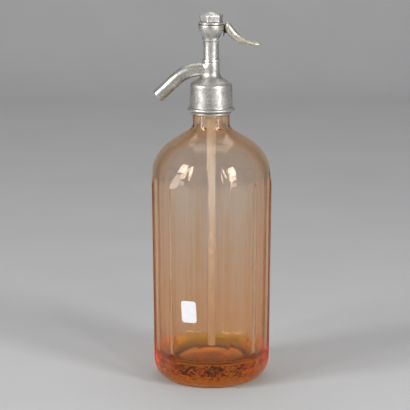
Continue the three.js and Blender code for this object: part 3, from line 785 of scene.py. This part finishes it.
def price_label():
    """A small blank paper label, stuck on the panel left of the front."""
    wide, tall, thick, corner = 13.6, 18, 0.12, 2.4
    centre_z, along, stand_off = 66.5, 5.2, 0.06
    facing = RIDGE_ANGLE - math.radians(45)
    tilt = math.radians(3)
    lean = (HEEL_TOP - BODY_RADIUS) / (SHOULDER_START - HEEL_HEIGHT)
    distance = ridge_radius(centre_z) * math.cos(math.pi / PANELS) + stand_off
    out = Vector((math.sin(facing), -math.cos(facing), 0))
    right = Vector((math.cos(facing), math.sin(facing), 0))
    outline = []
    for cx, cz, start in ((1, 1, 0), (-1, 1, 90), (-1, -1, 180), (1, -1, 270)):
        x0, z0 = cx * (wide / 2 - corner), cz * (tall / 2 - corner)
        outline += arc(x0, z0, corner, math.radians(start), math.radians(start + 90), 6)
    vertices = []
    for lift in (0, thick):
        for x, z in outline:
            across = x * math.cos(tilt) - z * math.sin(tilt)
            up = x * math.sin(tilt) + z * math.cos(tilt)
            place = out * (distance + lift - lean * up) + right * (along + across)
            vertices.append((place.x, place.y, centre_z + up))
    return piece("paper_label", vertices, slab_faces(len(outline)), PAPER, BODY)


# Head

# The bell, with the lower column and its bores from the top down
BELL = 17.35
BELL_INNER = 15.95
BELL_CEILING = 242.8
BELL_FILLET = 4
RIM = 19.7
RIM_Z = 226.8
RIM_BEAD = 1.3
COLUMN_TOP = 265.4
SPIGOT = 4.7
SPIGOT_RISE = 4
COLUMN_BORE = 3.6
COLUMN_BORE_FLOOR = 247.5
WATERWAY = 2.4
TUBE_SOCKET = 5.9
TUBE_SOCKET_TOP = 245.5
SLEEVE = 7.6
SLEEVE_BOTTOM = 237

# The recess is round: its radius, and where it starts and ends along the spout's axis
SPOUT_RECESS = (4.5, -9, -4.8)
SPOUT_SEAT = 4
SPOUT_BEND_START = 8
SPOUT_BEND_RADIUS = 30
SPOUT_ANGLE = math.radians(43)
SPOUT_STRAIGHT = 21.2
SPOUT_LIP = 0.9
SPOUT_GAP = 0.1

# The solder spreads on the column, runs out along the pipe and is sunk a little into both
SOLDER_SPREAD = 1.5
SOLDER_HOLLOW = 2.2
SOLDER_REACH = 1.7
SOLDER_SINK = 0.12
SOLDER_THICK = 0.3

# The upper column from its joint up to the bowl, with its bores and the lug's slot
JOINT_Z = 265.7
JOINT_RECESS = 5
JOINT_RECESS_TOP = 271.4
UPPER_COLUMN = 6.5
UPPER_COLUMN_END = 6.42
COLLAR_Z = 282.2
BOWL_NECK = 7.2
BOWL_CENTRE = 294.17
BOWL_RADIUS = 10.6
BOWL_WALL = 1.7
BOWL_INNER = BOWL_RADIUS - BOWL_WALL
BOWL_FLOOR = 287.2
PACKING_BORE = 3.5
PACKING_FLOOR = 279.7
ROD_BORE = 1.9
ROD_BORE_BOTTOM = 277.7
LUG_WIDE = 7.4
SLOT_HALF = 1.7

# The cap, its sides and roof measured up from its bottom, and how its six sides begin
CAP_BOTTOM = 296.37
CAP_ANGLE = math.radians(46)
CAP_SIDE = 7.4
CAP_ROOF = 10.13
CAP_CROWN = 1.6
CAP_BORE = 5.8
CAP_CEILING = 301.9
CAP_SPIGOT = 8.4
CAP_SPIGOT_RUN = (294.5, 296.6)
HEX_START = 1.1
HEX_FADE = 0.9
HEX_ROUND = 0.945
HEX_SHARP = 0.25


def flare(grow, steps):
    """The outside of the column where it flares into the bell's top."""
    turn = math.pi / 2 - TOP_SLOPE
    return arc(COLUMN + FLARE, FLARE_TOP, FLARE - grow, math.pi + turn, math.pi, steps)


def column_radius(z):
    """The lower column's outer radius at a height, flare included."""
    if z >= FLARE_TOP:
        return COLUMN
    drop = min(FLARE_TOP - z, FLARE * 0.97)
    return COLUMN + FLARE - math.sqrt(FLARE**2 - drop**2)


def bell():
    """The bell with its rim bead, the shoulder and the lower column, in one casting."""
    rim_top = RIM_Z + RIM_BEAD
    skirt = BELL + 0.35
    fillet_z = BELL_TOP - BELL_FILLET
    profile = [
        (BELL_INNER, RIM_Z - RIM_BEAD),
        (BELL_INNER + 0.5, RIM_Z - RIM_BEAD),
        *arc(RIM - RIM_BEAD, RIM_Z, RIM_BEAD, -math.pi / 2, math.pi / 2, 14),
        (BELL + 1.0, rim_top + 0.04),
        (BELL + 0.5, rim_top + 0.3),
        (skirt, rim_top + 0.9),
        *line((skirt, rim_top + 0.9), (BELL, fillet_z), 14)[:-1],
        *arc(BELL - BELL_FILLET, fillet_z, BELL_FILLET, 0, math.pi / 2 - TOP_SLOPE, 10),
        *flare(0, 14),
        (COLUMN, COLUMN_TOP - 3),
        (COLUMN, COLUMN_TOP - 0.5),
        (COLUMN - 0.25, COLUMN_TOP),
        (SPIGOT, COLUMN_TOP),
        (SPIGOT, COLUMN_TOP + SPIGOT_RISE),
        (COLUMN_BORE, COLUMN_TOP + SPIGOT_RISE),
        (COLUMN_BORE, COLUMN_BORE_FLOOR),
        (WATERWAY, COLUMN_BORE_FLOOR),
        (WATERWAY, TUBE_SOCKET_TOP),
        (TUBE_SOCKET, TUBE_SOCKET_TOP),
        (TUBE_SOCKET, SLEEVE_BOTTOM),
        (SLEEVE, SLEEVE_BOTTOM),
        (SLEEVE, BELL_CEILING),
        (BELL_INNER, BELL_CEILING),
    ]
    made = piece("bell_and_column", *lathe_mesh(profile, 128), PEWTER, BODY, ["head_body"], 40)
    combine(made, tool(*bar_mesh(*SPOUT_RECESS)), "DIFFERENCE")
    combine(made, tool(*bar_mesh(SPOUT_BORE, SPOUT_RECESS[1], 0)), "DIFFERENCE")
    smooth(made, 40)
    return worn(made, 0.12, 7, 3.0)


def spout_line():
    """Places and directions along the spout, from its seat in the column to its mouth."""
    bend_steps, straight_steps = 20, 8
    places = [((-SPOUT_SEAT, SPOUT_Z), 0.0), ((-SPOUT_BEND_START, SPOUT_Z), 0.0)]
    for i in range(1, bend_steps + 1):
        turn = SPOUT_ANGLE * i / bend_steps
        x = -SPOUT_BEND_START - SPOUT_BEND_RADIUS * math.sin(turn)
        z = SPOUT_Z - SPOUT_BEND_RADIUS * (1 - math.cos(turn))
        places.append(((x, z), turn))
    (x, z), turn = places[-1]
    for i in range(1, straight_steps + 1):
        run = SPOUT_STRAIGHT * i / straight_steps
        places.append(((x - run * math.cos(turn), z - run * math.sin(turn)), turn))
    return places


def spout_ring(place, turn, radius):
    """A ring of points square to the spout's line."""
    x, z = place
    up_x, up_z = -math.sin(turn), math.cos(turn)
    return [(x + up_x * rise, y, z + up_z * rise) for y, rise in circle(0, 0, radius, 64)]


def spout_pipe():
    """The bent pipe with its rounded mouth, bored through and cut to seat on the column."""
    *places, (mouth, turn) = spout_line()
    edge = [
        *arc(SPOUT_RADIUS - SPOUT_LIP, -SPOUT_LIP, SPOUT_LIP, 0, math.pi / 2, 5),
        (SPOUT_BORE + 0.5, 0),
        (SPOUT_BORE + 0.1, -0.4),
        (SPOUT_BORE, -1.0),
    ]
    rings = [spout_ring(*station, SPOUT_RADIUS) for station in places]
    for radius, run in edge:
        place = (mouth[0] - math.cos(turn) * run, mouth[1] - math.sin(turn) * run)
        rings.append(spout_ring(place, turn, radius))
    rings += [spout_ring(*station, SPOUT_BORE) for station in reversed(places)]
    made = piece("spout_pipe", *skin(rings, closed=True), PEWTER_SPOUT, BODY, ["spout"])
    bottom, top = BELL_TOP - 3, 270
    column = [
        (0, bottom),
        (9.5, bottom),
        *flare(SPOUT_GAP, 12),
        (COLUMN + SPOUT_GAP, top),
        (0, top),
    ]
    combine(made, tool(*lathe_mesh(column, 96)), "DIFFERENCE")
    smooth(made, 40)
    return worn(made, 0.16, 6, 8.0)


def solder_fillet():
    """The soft seam of solder round the spout where it meets the column."""
    sides, rows = 72, 10
    vertices, faces = [], []
    for j in range(sides):
        angle = 2 * math.pi * j / sides
        for i in range(rows + 1):
            out = i / rows
            spread = SPOUT_RADIUS + SOLDER_SPREAD * (1 - out) ** SOLDER_HOLLOW - SOLDER_SINK
            y, z = math.cos(angle) * spread, SPOUT_Z + math.sin(angle) * spread
            surface = column_radius(z)
            reach = math.sqrt(max(surface**2 - y**2, 0)) - SOLDER_SINK if abs(y) < surface else 0
            vertices.append((-(reach + SOLDER_REACH * out), y, z))
    for j in range(sides):
        k = (j + 1) % sides
        for i in range(rows):
            low, high = j * (rows + 1) + i, k * (rows + 1) + i
            faces.append((low, low + 1, high + 1, high))
    made = piece("spout_solder", vertices, faces, PEWTER, BODY)
    thick = made.modifiers.new("thick", "SOLIDIFY")
    thick.thickness = SOLDER_THICK * MM
    thick.offset = -1
    applied(made)
    smooth(made, 60)
    return worn(made, 0.1, 3, 5.0)


def valve_head():
    """Upper column, ball bowl and lug in one casting, slotted for the lever's tang."""
    start = math.asin(BOWL_NECK / BOWL_RADIUS)
    rim = math.asin((BOWL_RIM - BOWL_CENTRE) / BOWL_RADIUS)
    inner_rim = math.asin((BOWL_RIM - BOWL_CENTRE) / BOWL_INNER)
    inner_start = math.acos((BOWL_CENTRE - BOWL_FLOOR) / BOWL_INNER)
    profile = [
        (JOINT_RECESS, JOINT_Z),
        (7.1, JOINT_Z),
        (7.35, JOINT_Z + 0.25),
        (7.38, JOINT_Z + 1.3),
        (7.15, JOINT_Z + 1.7),
        (6.65, JOINT_Z + 2.0),
        (UPPER_COLUMN, JOINT_Z + 2.6),
        *line((UPPER_COLUMN, JOINT_Z + 2.6), (UPPER_COLUMN_END, COLLAR_Z), 8),
        (6.45, COLLAR_Z + 0.3),
        (6.75, COLLAR_Z + 0.5),
        (7.1, COLLAR_Z + 0.75),
        (7.28, COLLAR_Z + 1.2),
        (7.22, COLLAR_Z + 1.9),
        (BOWL_NECK, COLLAR_Z + 3.0),
        *arc(0, BOWL_CENTRE, BOWL_RADIUS, start - math.pi / 2 + 0.06, rim - 0.03, 22),
        (BOWL_RADIUS - 0.25, BOWL_RIM),
        (BOWL_INNER + 0.1, BOWL_RIM),
        *arc(0, BOWL_CENTRE, BOWL_INNER, inner_rim, inner_start - math.pi / 2, 10),
        (PACKING_BORE, BOWL_FLOOR),
        (PACKING_BORE, PACKING_FLOOR),
        (ROD_BORE, PACKING_FLOOR),
        (ROD_BORE, ROD_BORE_BOTTOM),
        (COLUMN_BORE, ROD_BORE_BOTTOM),
        (COLUMN_BORE, JOINT_RECESS_TOP),
        (JOINT_RECESS, JOINT_RECESS_TOP),
    ]
    made = piece("valve_head", *lathe_mesh(profile, 128), PEWTER, BODY, ["valve_column"], 40)
    x0, z0 = PIVOT
    front, back, top = x0 + 2.3, x0 - 2.2, BOWL_RIM - 0.05
    outline = [(front, z0 - 3), (front, top), (back, top), (back, z0 - 6.8), (x0 - 0.4, z0 - 6.8)]
    lug = bevelled(tool(*plate_mesh(rounded(outline, 0.7), LUG_WIDE)), 0.6, 3, 35)
    hollow = [
        (0, BOWL_FLOOR + 0.05),
        *arc(0, BOWL_CENTRE, BOWL_INNER + 0.02, inner_start - math.pi / 2, inner_rim, 10),
        (0, BOWL_RIM + 0.4),
    ]
    combine(lug, tool(*lathe_mesh(hollow, 96)), "DIFFERENCE")
    combine(made, lug, "UNION")
    slot_low, slot_high = (back, -SLOT_HALF, z0 - 6.4), (x0 + 6, SLOT_HALF, BOWL_RIM + 2)
    combine(made, tool(*box_mesh(slot_low, slot_high)), "DIFFERENCE")
    smooth(made, 38)
    return worn(made, 0.1, 5, 11.0)


def six_sided(r, angle, z):
    """The cap's radius: round at its flange and six-sided above, with rubbed corners."""
    step = math.pi / 3
    turns = (angle - CAP_ANGLE) / step
    from_corner = abs(turns - round(turns)) * step
    flat = math.cos(step / 2) / math.cos(step / 2 - from_corner)
    softened = min(flat, HEX_ROUND) * (1 - HEX_SHARP) + flat * HEX_SHARP
    share = held((z - CAP_BOTTOM - HEX_START) / HEX_FADE)
    return r * (1 + (softened - 1) * share)


def screw_cap():
    """The six-sided cap on its round flange, with rubbed and knocked corners."""
    side_top = CAP_BOTTOM + CAP_SIDE
    roof = CAP_BOTTOM + CAP_ROOF
    profile = [
        (0, CAP_CEILING),
        (CAP_BORE, CAP_CEILING),
        (CAP_BORE, CAP_BOTTOM),
        (10.3, CAP_BOTTOM),
        (10.62, CAP_BOTTOM + 0.25),
        (10.7, CAP_BOTTOM + 0.6),
        (10.6, CAP_BOTTOM + 1.0),
        (10.2, CAP_BOTTOM + 1.5),
        (9.85, CAP_BOTTOM + 2.2),
        (9.8, CAP_BOTTOM + 3.2),
        (10.0, CAP_BOTTOM + 4.6),
        (10.25, CAP_BOTTOM + 6.2),
        (10.3, side_top - 0.6),
        (10.15, side_top - 0.15),
        (9.7, side_top + 0.15),
        *line((9.7, side_top + 0.15), (CAP_CROWN, roof - 0.15), 10),
        (CAP_CROWN * 0.6, roof - 0.03),
        (0, roof),
    ]
    mesh = lathe_mesh(profile, 96, CAP_ANGLE, six_sided)
    made = piece("screw_cap", *mesh, PEWTER, BODY, ["top_cap"], 38)
    low, high = CAP_SPIGOT_RUN
    spigot = [(CAP_BORE, low), (CAP_SPIGOT, low), (CAP_SPIGOT, high), (CAP_BORE, high)]
    combine(made, tool(*lathe_mesh(spigot, 96)), "UNION")
    smooth(made, 38)
    dent(made, (8.2, -5.4, 301.6), 2.3, 0.55)
    dent(made, (6.0, -7.6, 299.6), 1.6, 0.35)
    return worn(made, 0.2, 3.6, 21.0)


# Lever

HANDLE_START = 5.3
HANDLE_RISE = 7.2
HANDLE_LENGTH = 28.5
HANDLE_DROP = 18.1
HANDLE_THICK = 8.5
HANDLE_WIDE = 12
THUMB_HOLLOW = 1.3
POCKET_HALF = 1.6

# Where the middle line bends, as shares of its length and its drop
HANDLE_BENDS = ((0.074, 0.536), (0.41, 0.923))

# Stations along the handle, with its thickness and width there, all as shares
HANDLE_SHARES = (
    (0, 0.24, 0.36),
    (0.03, 0.44, 0.56),
    (0.12, 0.8, 0.72),
    (0.25, 0.99, 0.77),
    (0.4, 1, 0.8),
    (0.55, 0.93, 0.88),
    (0.7, 0.74, 0.97),
    (0.84, 0.52, 1),
    (0.93, 0.38, 0.88),
    (0.98, 0.27, 0.6),
    (1, 0.12, 0.3),
)

# The sunk groove: its run along the handle, its height and breadth as shares of half the section
GROOVE_DEPTH = 0.3
GROOVE_RUN = (0.32, 0.92)
GROOVE_FADE = 0.1
GROOVE_LEVEL = 0.42
GROOVE_BREADTH = 0.09

# The tang, measured from the pivot. Its fork stands round the rod, which passes through it
TANG_THICK = 2.8
EYE = 2.2
PRONG = 1.2
ROD_PASSAGE = 2.2
FORK_HALF = 4.4
TAIL_FOOT = -5.9
BLADE_END = 7.6
BLADE_TOP = 5
BLADE_BOTTOM = -1.4
PIN_HOLE = 1.15
PIN_HALF = 4.1


def handle_point(t):
    """A place on the handle's middle line and its direction, in millimetres from the pivot."""
    a, b, c, d = [
        Vector((HANDLE_START + HANDLE_LENGTH * x, HANDLE_RISE - HANDLE_DROP * z))
        for x, z in [(0, 0), *HANDLE_BENDS, (1, 1)]
    ]
    place = a * (1 - t) ** 3 + b * 3 * t * (1 - t) ** 2 + c * 3 * t * t * (1 - t) + d * t**3
    way = (b - a) * (1 - t) ** 2 + (c - b) * 2 * t * (1 - t) + (d - c) * t * t
    return place, way.normalized()


def handle_shares(t):
    """Thickness and width shares at t, smooth between the listed stations."""
    rows = HANDLE_SHARES
    last = len(rows) - 1
    i = next(i for i in range(last) if t <= rows[i + 1][0])
    before, low, high, after = rows[max(0, i - 1)], rows[i], rows[i + 1], rows[min(last, i + 2)]
    span = high[0] - low[0]
    u = (t - low[0]) / span
    made = []
    for column in (1, 2):
        slope_low = (high[column] - before[column]) / (high[0] - before[0]) * span
        slope_high = (after[column] - low[column]) / (after[0] - low[0]) * span
        made.append(
            (2 * u**3 - 3 * u**2 + 1) * low[column]
            + (u**3 - 2 * u**2 + u) * slope_low
            + (3 * u**2 - 2 * u**3) * high[column]
            + (u**3 - u**2) * slope_high
        )
    return made


def handle_ring(t):
    """The handle's section at t: an oval, hollow on top, with a groove in each side."""
    sides = 64
    place, way = handle_point(t)
    up = Vector((-way.y, way.x))
    thick, wide = handle_shares(t)
    half_thick, half_wide = HANDLE_THICK * thick / 2, HANDLE_WIDE * wide / 2
    hollow = THUMB_HOLLOW * math.sin(math.pi * t) * thick
    begins, ends = GROOVE_RUN
    groove = GROOVE_DEPTH * held((t - begins) / GROOVE_FADE) * held((ends - t) / GROOVE_FADE)
    ring = []
    for j in range(sides):
        angle = 2 * math.pi * j / sides
        rise = math.sin(angle)
        dip = max(0, rise) ** 2 * hollow
        cut = math.exp(-(((rise - GROOVE_LEVEL) / GROOVE_BREADTH) ** 2)) * groove
        out = up * (half_thick * rise - dip)
        y = math.cos(angle) * (half_wide - cut)
        ring.append((PIVOT[0] + place.x + out.x, y, PIVOT[1] + place.y + out.y))
    return ring


def handle():
    """The horn-shaped casting, with a pocket in which the tang's blade sits."""
    steps = 70
    rings = [handle_ring(i / steps) for i in range(steps + 1)]
    made = piece("thumb_handle", *sweep_mesh(rings), PEWTER_HANDLE, LEVER, ["lever_handle"], 50)
    x0, z0 = PIVOT
    low, high = (x0, -POCKET_HALF, z0 - 1.7), (x0 + 7.9, POCKET_HALF, z0 + 5.3)
    combine(made, tool(*box_mesh(low, high)), "DIFFERENCE")
    smooth(made, 50)
    return worn(made, 0.12, 3.6, 31.0)


def tang():
    """The blackened steel piece: fork, eye, tail and blade."""
    x0, z0 = PIVOT
    rod_side = -x0 + ROD_PASSAGE
    outline = [
        (rod_side, -PRONG),
        *arc(0, 0, EYE, -math.pi * 0.8, -math.pi * 0.5, 8),
        (-0.6, TAIL_FOOT + 0.3),
        (-0.35, TAIL_FOOT),
        (0.25, TAIL_FOOT),
        (0.5, TAIL_FOOT + 0.3),
        (3.2, -3),
        (3.2, BLADE_BOTTOM),
        (BLADE_END, BLADE_BOTTOM),
        (BLADE_END, BLADE_TOP),
        (1.4, BLADE_TOP),
        *arc(0, 0, EYE, math.pi * 0.4, math.pi * 0.8, 10),
        (rod_side, PRONG),
    ]
    placed = [(x0 + x, z0 + z) for x, z in outline]
    mesh = plate_mesh(placed, TANG_THICK)
    made = piece("steel_tang", *mesh, BLACK_AND_SHADE, LEVER, ["lever_tang"])
    fork = box_mesh((-1.4, -FORK_HALF, z0 - PRONG), (4.4, FORK_HALF, z0 + PRONG))
    combine(made, tool(*fork), "UNION")
    passage = box_mesh((-4, -ROD_PASSAGE, z0 - 3), (ROD_PASSAGE, ROD_PASSAGE, z0 + 3))
    combine(made, tool(*passage), "DIFFERENCE")
    hole = [[(x, y, z) for x, z in circle(x0, z0, PIN_HOLE, 32)] for y in (-4, 4)]
    combine(made, tool(*sweep_mesh(hole)), "DIFFERENCE")
    return bevelled(made, 0.22, 2, 40)


def pin():
    """The lever's pin, riveted over at both ends."""
    ends = [
        (PIN_HALF - 0.55, 1.0),
        (PIN_HALF - 0.45, 1.25),
        (PIN_HALF - 0.15, 1.1),
        (PIN_HALF, 0.5),
    ]
    rings = []
    for y, radius in [(-y, radius) for y, radius in reversed(ends)] + ends:
        rings.append([(x, y, z) for x, z in circle(*PIVOT, radius, 32)])
    return piece("riveted_pin", *sweep_mesh(rings), BLACK_AND_SHADE, BODY, ["lever_pin"], 50)


def inner_pieces():
    """The pieces inside the head keep their solids and get their finishes."""
    finishes = {
        RUBBER: ["neck_gasket", "tube_seal", "valve_washer"],
        TIN: ["tube_nut", "valve_seat", "packing_nut"],
        STEEL: ["valve_rod", "lift_collar", "rod_nut", "return_spring"],
        LEATHER: ["column_gasket", "rod_packing", "cap_washer"],
    }
    for material, nodes in finishes.items():
        for node in nodes:
            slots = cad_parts[node].data.materials
            if len(slots):
                slots[0] = material
            else:
                slots.append(material)


# Studio, in metres

FLOOR_FRONT = -2.5
FLOOR_DEPTH = 1.6
FLOOR_BEND = 0.5
FLOOR_HALF = 3.0
BACKDROP_TOP = 2.4

# Windows: azimuth in degrees, height of the middle, width and watts
WINDOWS = {
    "left": (-62, 0.9, 0.34, 9),
    "left_pane": (-45, 0.9, 0.13, 3.4),
    "right_pane": (24, 0.8, 0.07, 2.3),
    "right": (46, 0.84, 0.34, 9.5),
}
WINDOW_TALL = 0.62
WINDOW_DISTANCE = 1.3

# The two wide windows have a low strip below them, as wide as a share of the window
STRIPS = ("left", "right")
STRIP_HEIGHT = 0.24
STRIP_TALL = 0.4
STRIP_SHARE = 0.7
STRIP_WATTS = 2

SKY_PLACE = (0, 0.9, 2.3)
SKY_TARGET = (0, 0.2, 0)
SKY_SIZE = 1.8
SKY_WATTS = 13
AIR_COLOUR = (0.93, 0.93, 0.93, 1)
AIR_STRENGTH = 0.3


def aim(made, target):
    """Points a lamp or the camera at a place."""
    way = Vector(target) - made.location
    made.rotation_euler = way.to_track_quat("-Z", "Y").to_euler()


def softbox(name, place, target, width, height, power):
    data = bpy.data.lights.new(name, "AREA")
    data.shape = "RECTANGLE"
    data.size, data.size_y = width, height
    data.energy = power
    made = bpy.data.objects.new(name, data)
    bpy.context.scene.collection.objects.link(made)
    made.location = place
    aim(made, target)


def floor_and_backdrop():
    """A floor that curves up into a backdrop."""
    curve = arc(FLOOR_DEPTH, FLOOR_BEND, FLOOR_BEND, -math.pi / 2, 0, 16)
    profile = [(FLOOR_FRONT, 0.0), *curve, (FLOOR_DEPTH + FLOOR_BEND, BACKDROP_TOP)]
    vertices = [(x / MM, y / MM, z / MM) for x in (-FLOOR_HALF, FLOOR_HALF) for y, z in profile]
    count = len(profile)
    faces = [(i, i + 1, count + i + 1, count + i) for i in range(count - 1)]
    card = piece("floor_and_backdrop", vertices, faces, CARD, None)


def lamps():
    """Softboxes like window panes, low strips under two of them and a panel for the sky."""
    middle = (0, 0, 0.16)
    for side, (azimuth, height, width, power) in WINDOWS.items():
        turn = math.radians(azimuth)
        x, y = WINDOW_DISTANCE * math.sin(turn), -WINDOW_DISTANCE * math.cos(turn)
        softbox("window_" + side, (x, y, height), middle, width, WINDOW_TALL, power)
        if side in STRIPS:
            place = (x, y, STRIP_HEIGHT)
            softbox("strip_" + side, place, middle, width * STRIP_SHARE, STRIP_TALL, STRIP_WATTS)
    softbox("sky_panel", SKY_PLACE, SKY_TARGET, SKY_SIZE, SKY_SIZE, SKY_WATTS)


def air():
    """A plain pale world all round."""
    world = bpy.data.worlds.new("studio_air")
    bpy.context.scene.world = world
    world.use_nodes = True
    inputs = world.node_tree.nodes["Background"].inputs
    inputs["Color"].default_value = AIR_COLOUR
    inputs["Strength"].default_value = AIR_STRENGTH


def light_paths():
    """Lets light turn round inside the thick glass as often as it does in a real bottle."""
    paths = bpy.context.scene.cycles
    paths.max_bounces = 20
    paths.glossy_bounces = 16
    paths.transmission_bounces = 20


def photo_camera():
    """The photograph's view: a little above the shoulder, from straight in front."""
    frame_pixels = 410
    focal_pixels = 1810
    axis_x, level_y = 211.2, 200.3
    sensor = 36
    distance, elevation = 1.5, math.radians(11.5)
    level = 0.15
    data = bpy.data.cameras.new("photo_camera")
    data.sensor_width = sensor
    data.lens = sensor * focal_pixels / frame_pixels
    data.shift_x = (frame_pixels / 2 - axis_x) / frame_pixels
    data.shift_y = (level_y - frame_pixels / 2) / frame_pixels
    made = bpy.data.objects.new("photo_camera", data)
    bpy.context.scene.collection.objects.link(made)
    made.location = (0, -distance * math.cos(elevation), level + distance * math.sin(elevation))
    aim(made, (0, 0, level))
    bpy.context.scene.camera = made
    bpy.context.scene.view_settings.view_transform = "Standard"


PEWTER = pewter("pewter")
# Painted shade and light: the spout's copy of the pewter is darker, the handle's lighter and
# warmer.
PEWTER_SPOUT = pewter("pewter_spout", (0.84, 0.84, 0.82), 0.7)
PEWTER_HANDLE = pewter("pewter_handle", (1.22, 1.18, 1.06), 1.5)
GLASS = bottle_glass()
TUBE = tube_glass()
TIN = turned_tin()
# Near black: blackened steel and painted shade for the tang and the pin.
BLACK_AND_SHADE = black_steel()
STEEL = drawn_steel()
RUBBER = old_rubber()
LEATHER = greased_leather()
PAPER = label_paper()
CARD = studio_card()

light_paths()
photo_camera()
floor_and_backdrop()
lamps()
air()
bottle()
tube_of_glass()
split_ring("front", math.pi)
split_ring("back", 0)
price_label()
bell()
spout_pipe()
solder_fillet()
valve_head()
screw_cap()
handle()
tang()
pin()
inner_pieces()

bpy.context.view_layer.update()
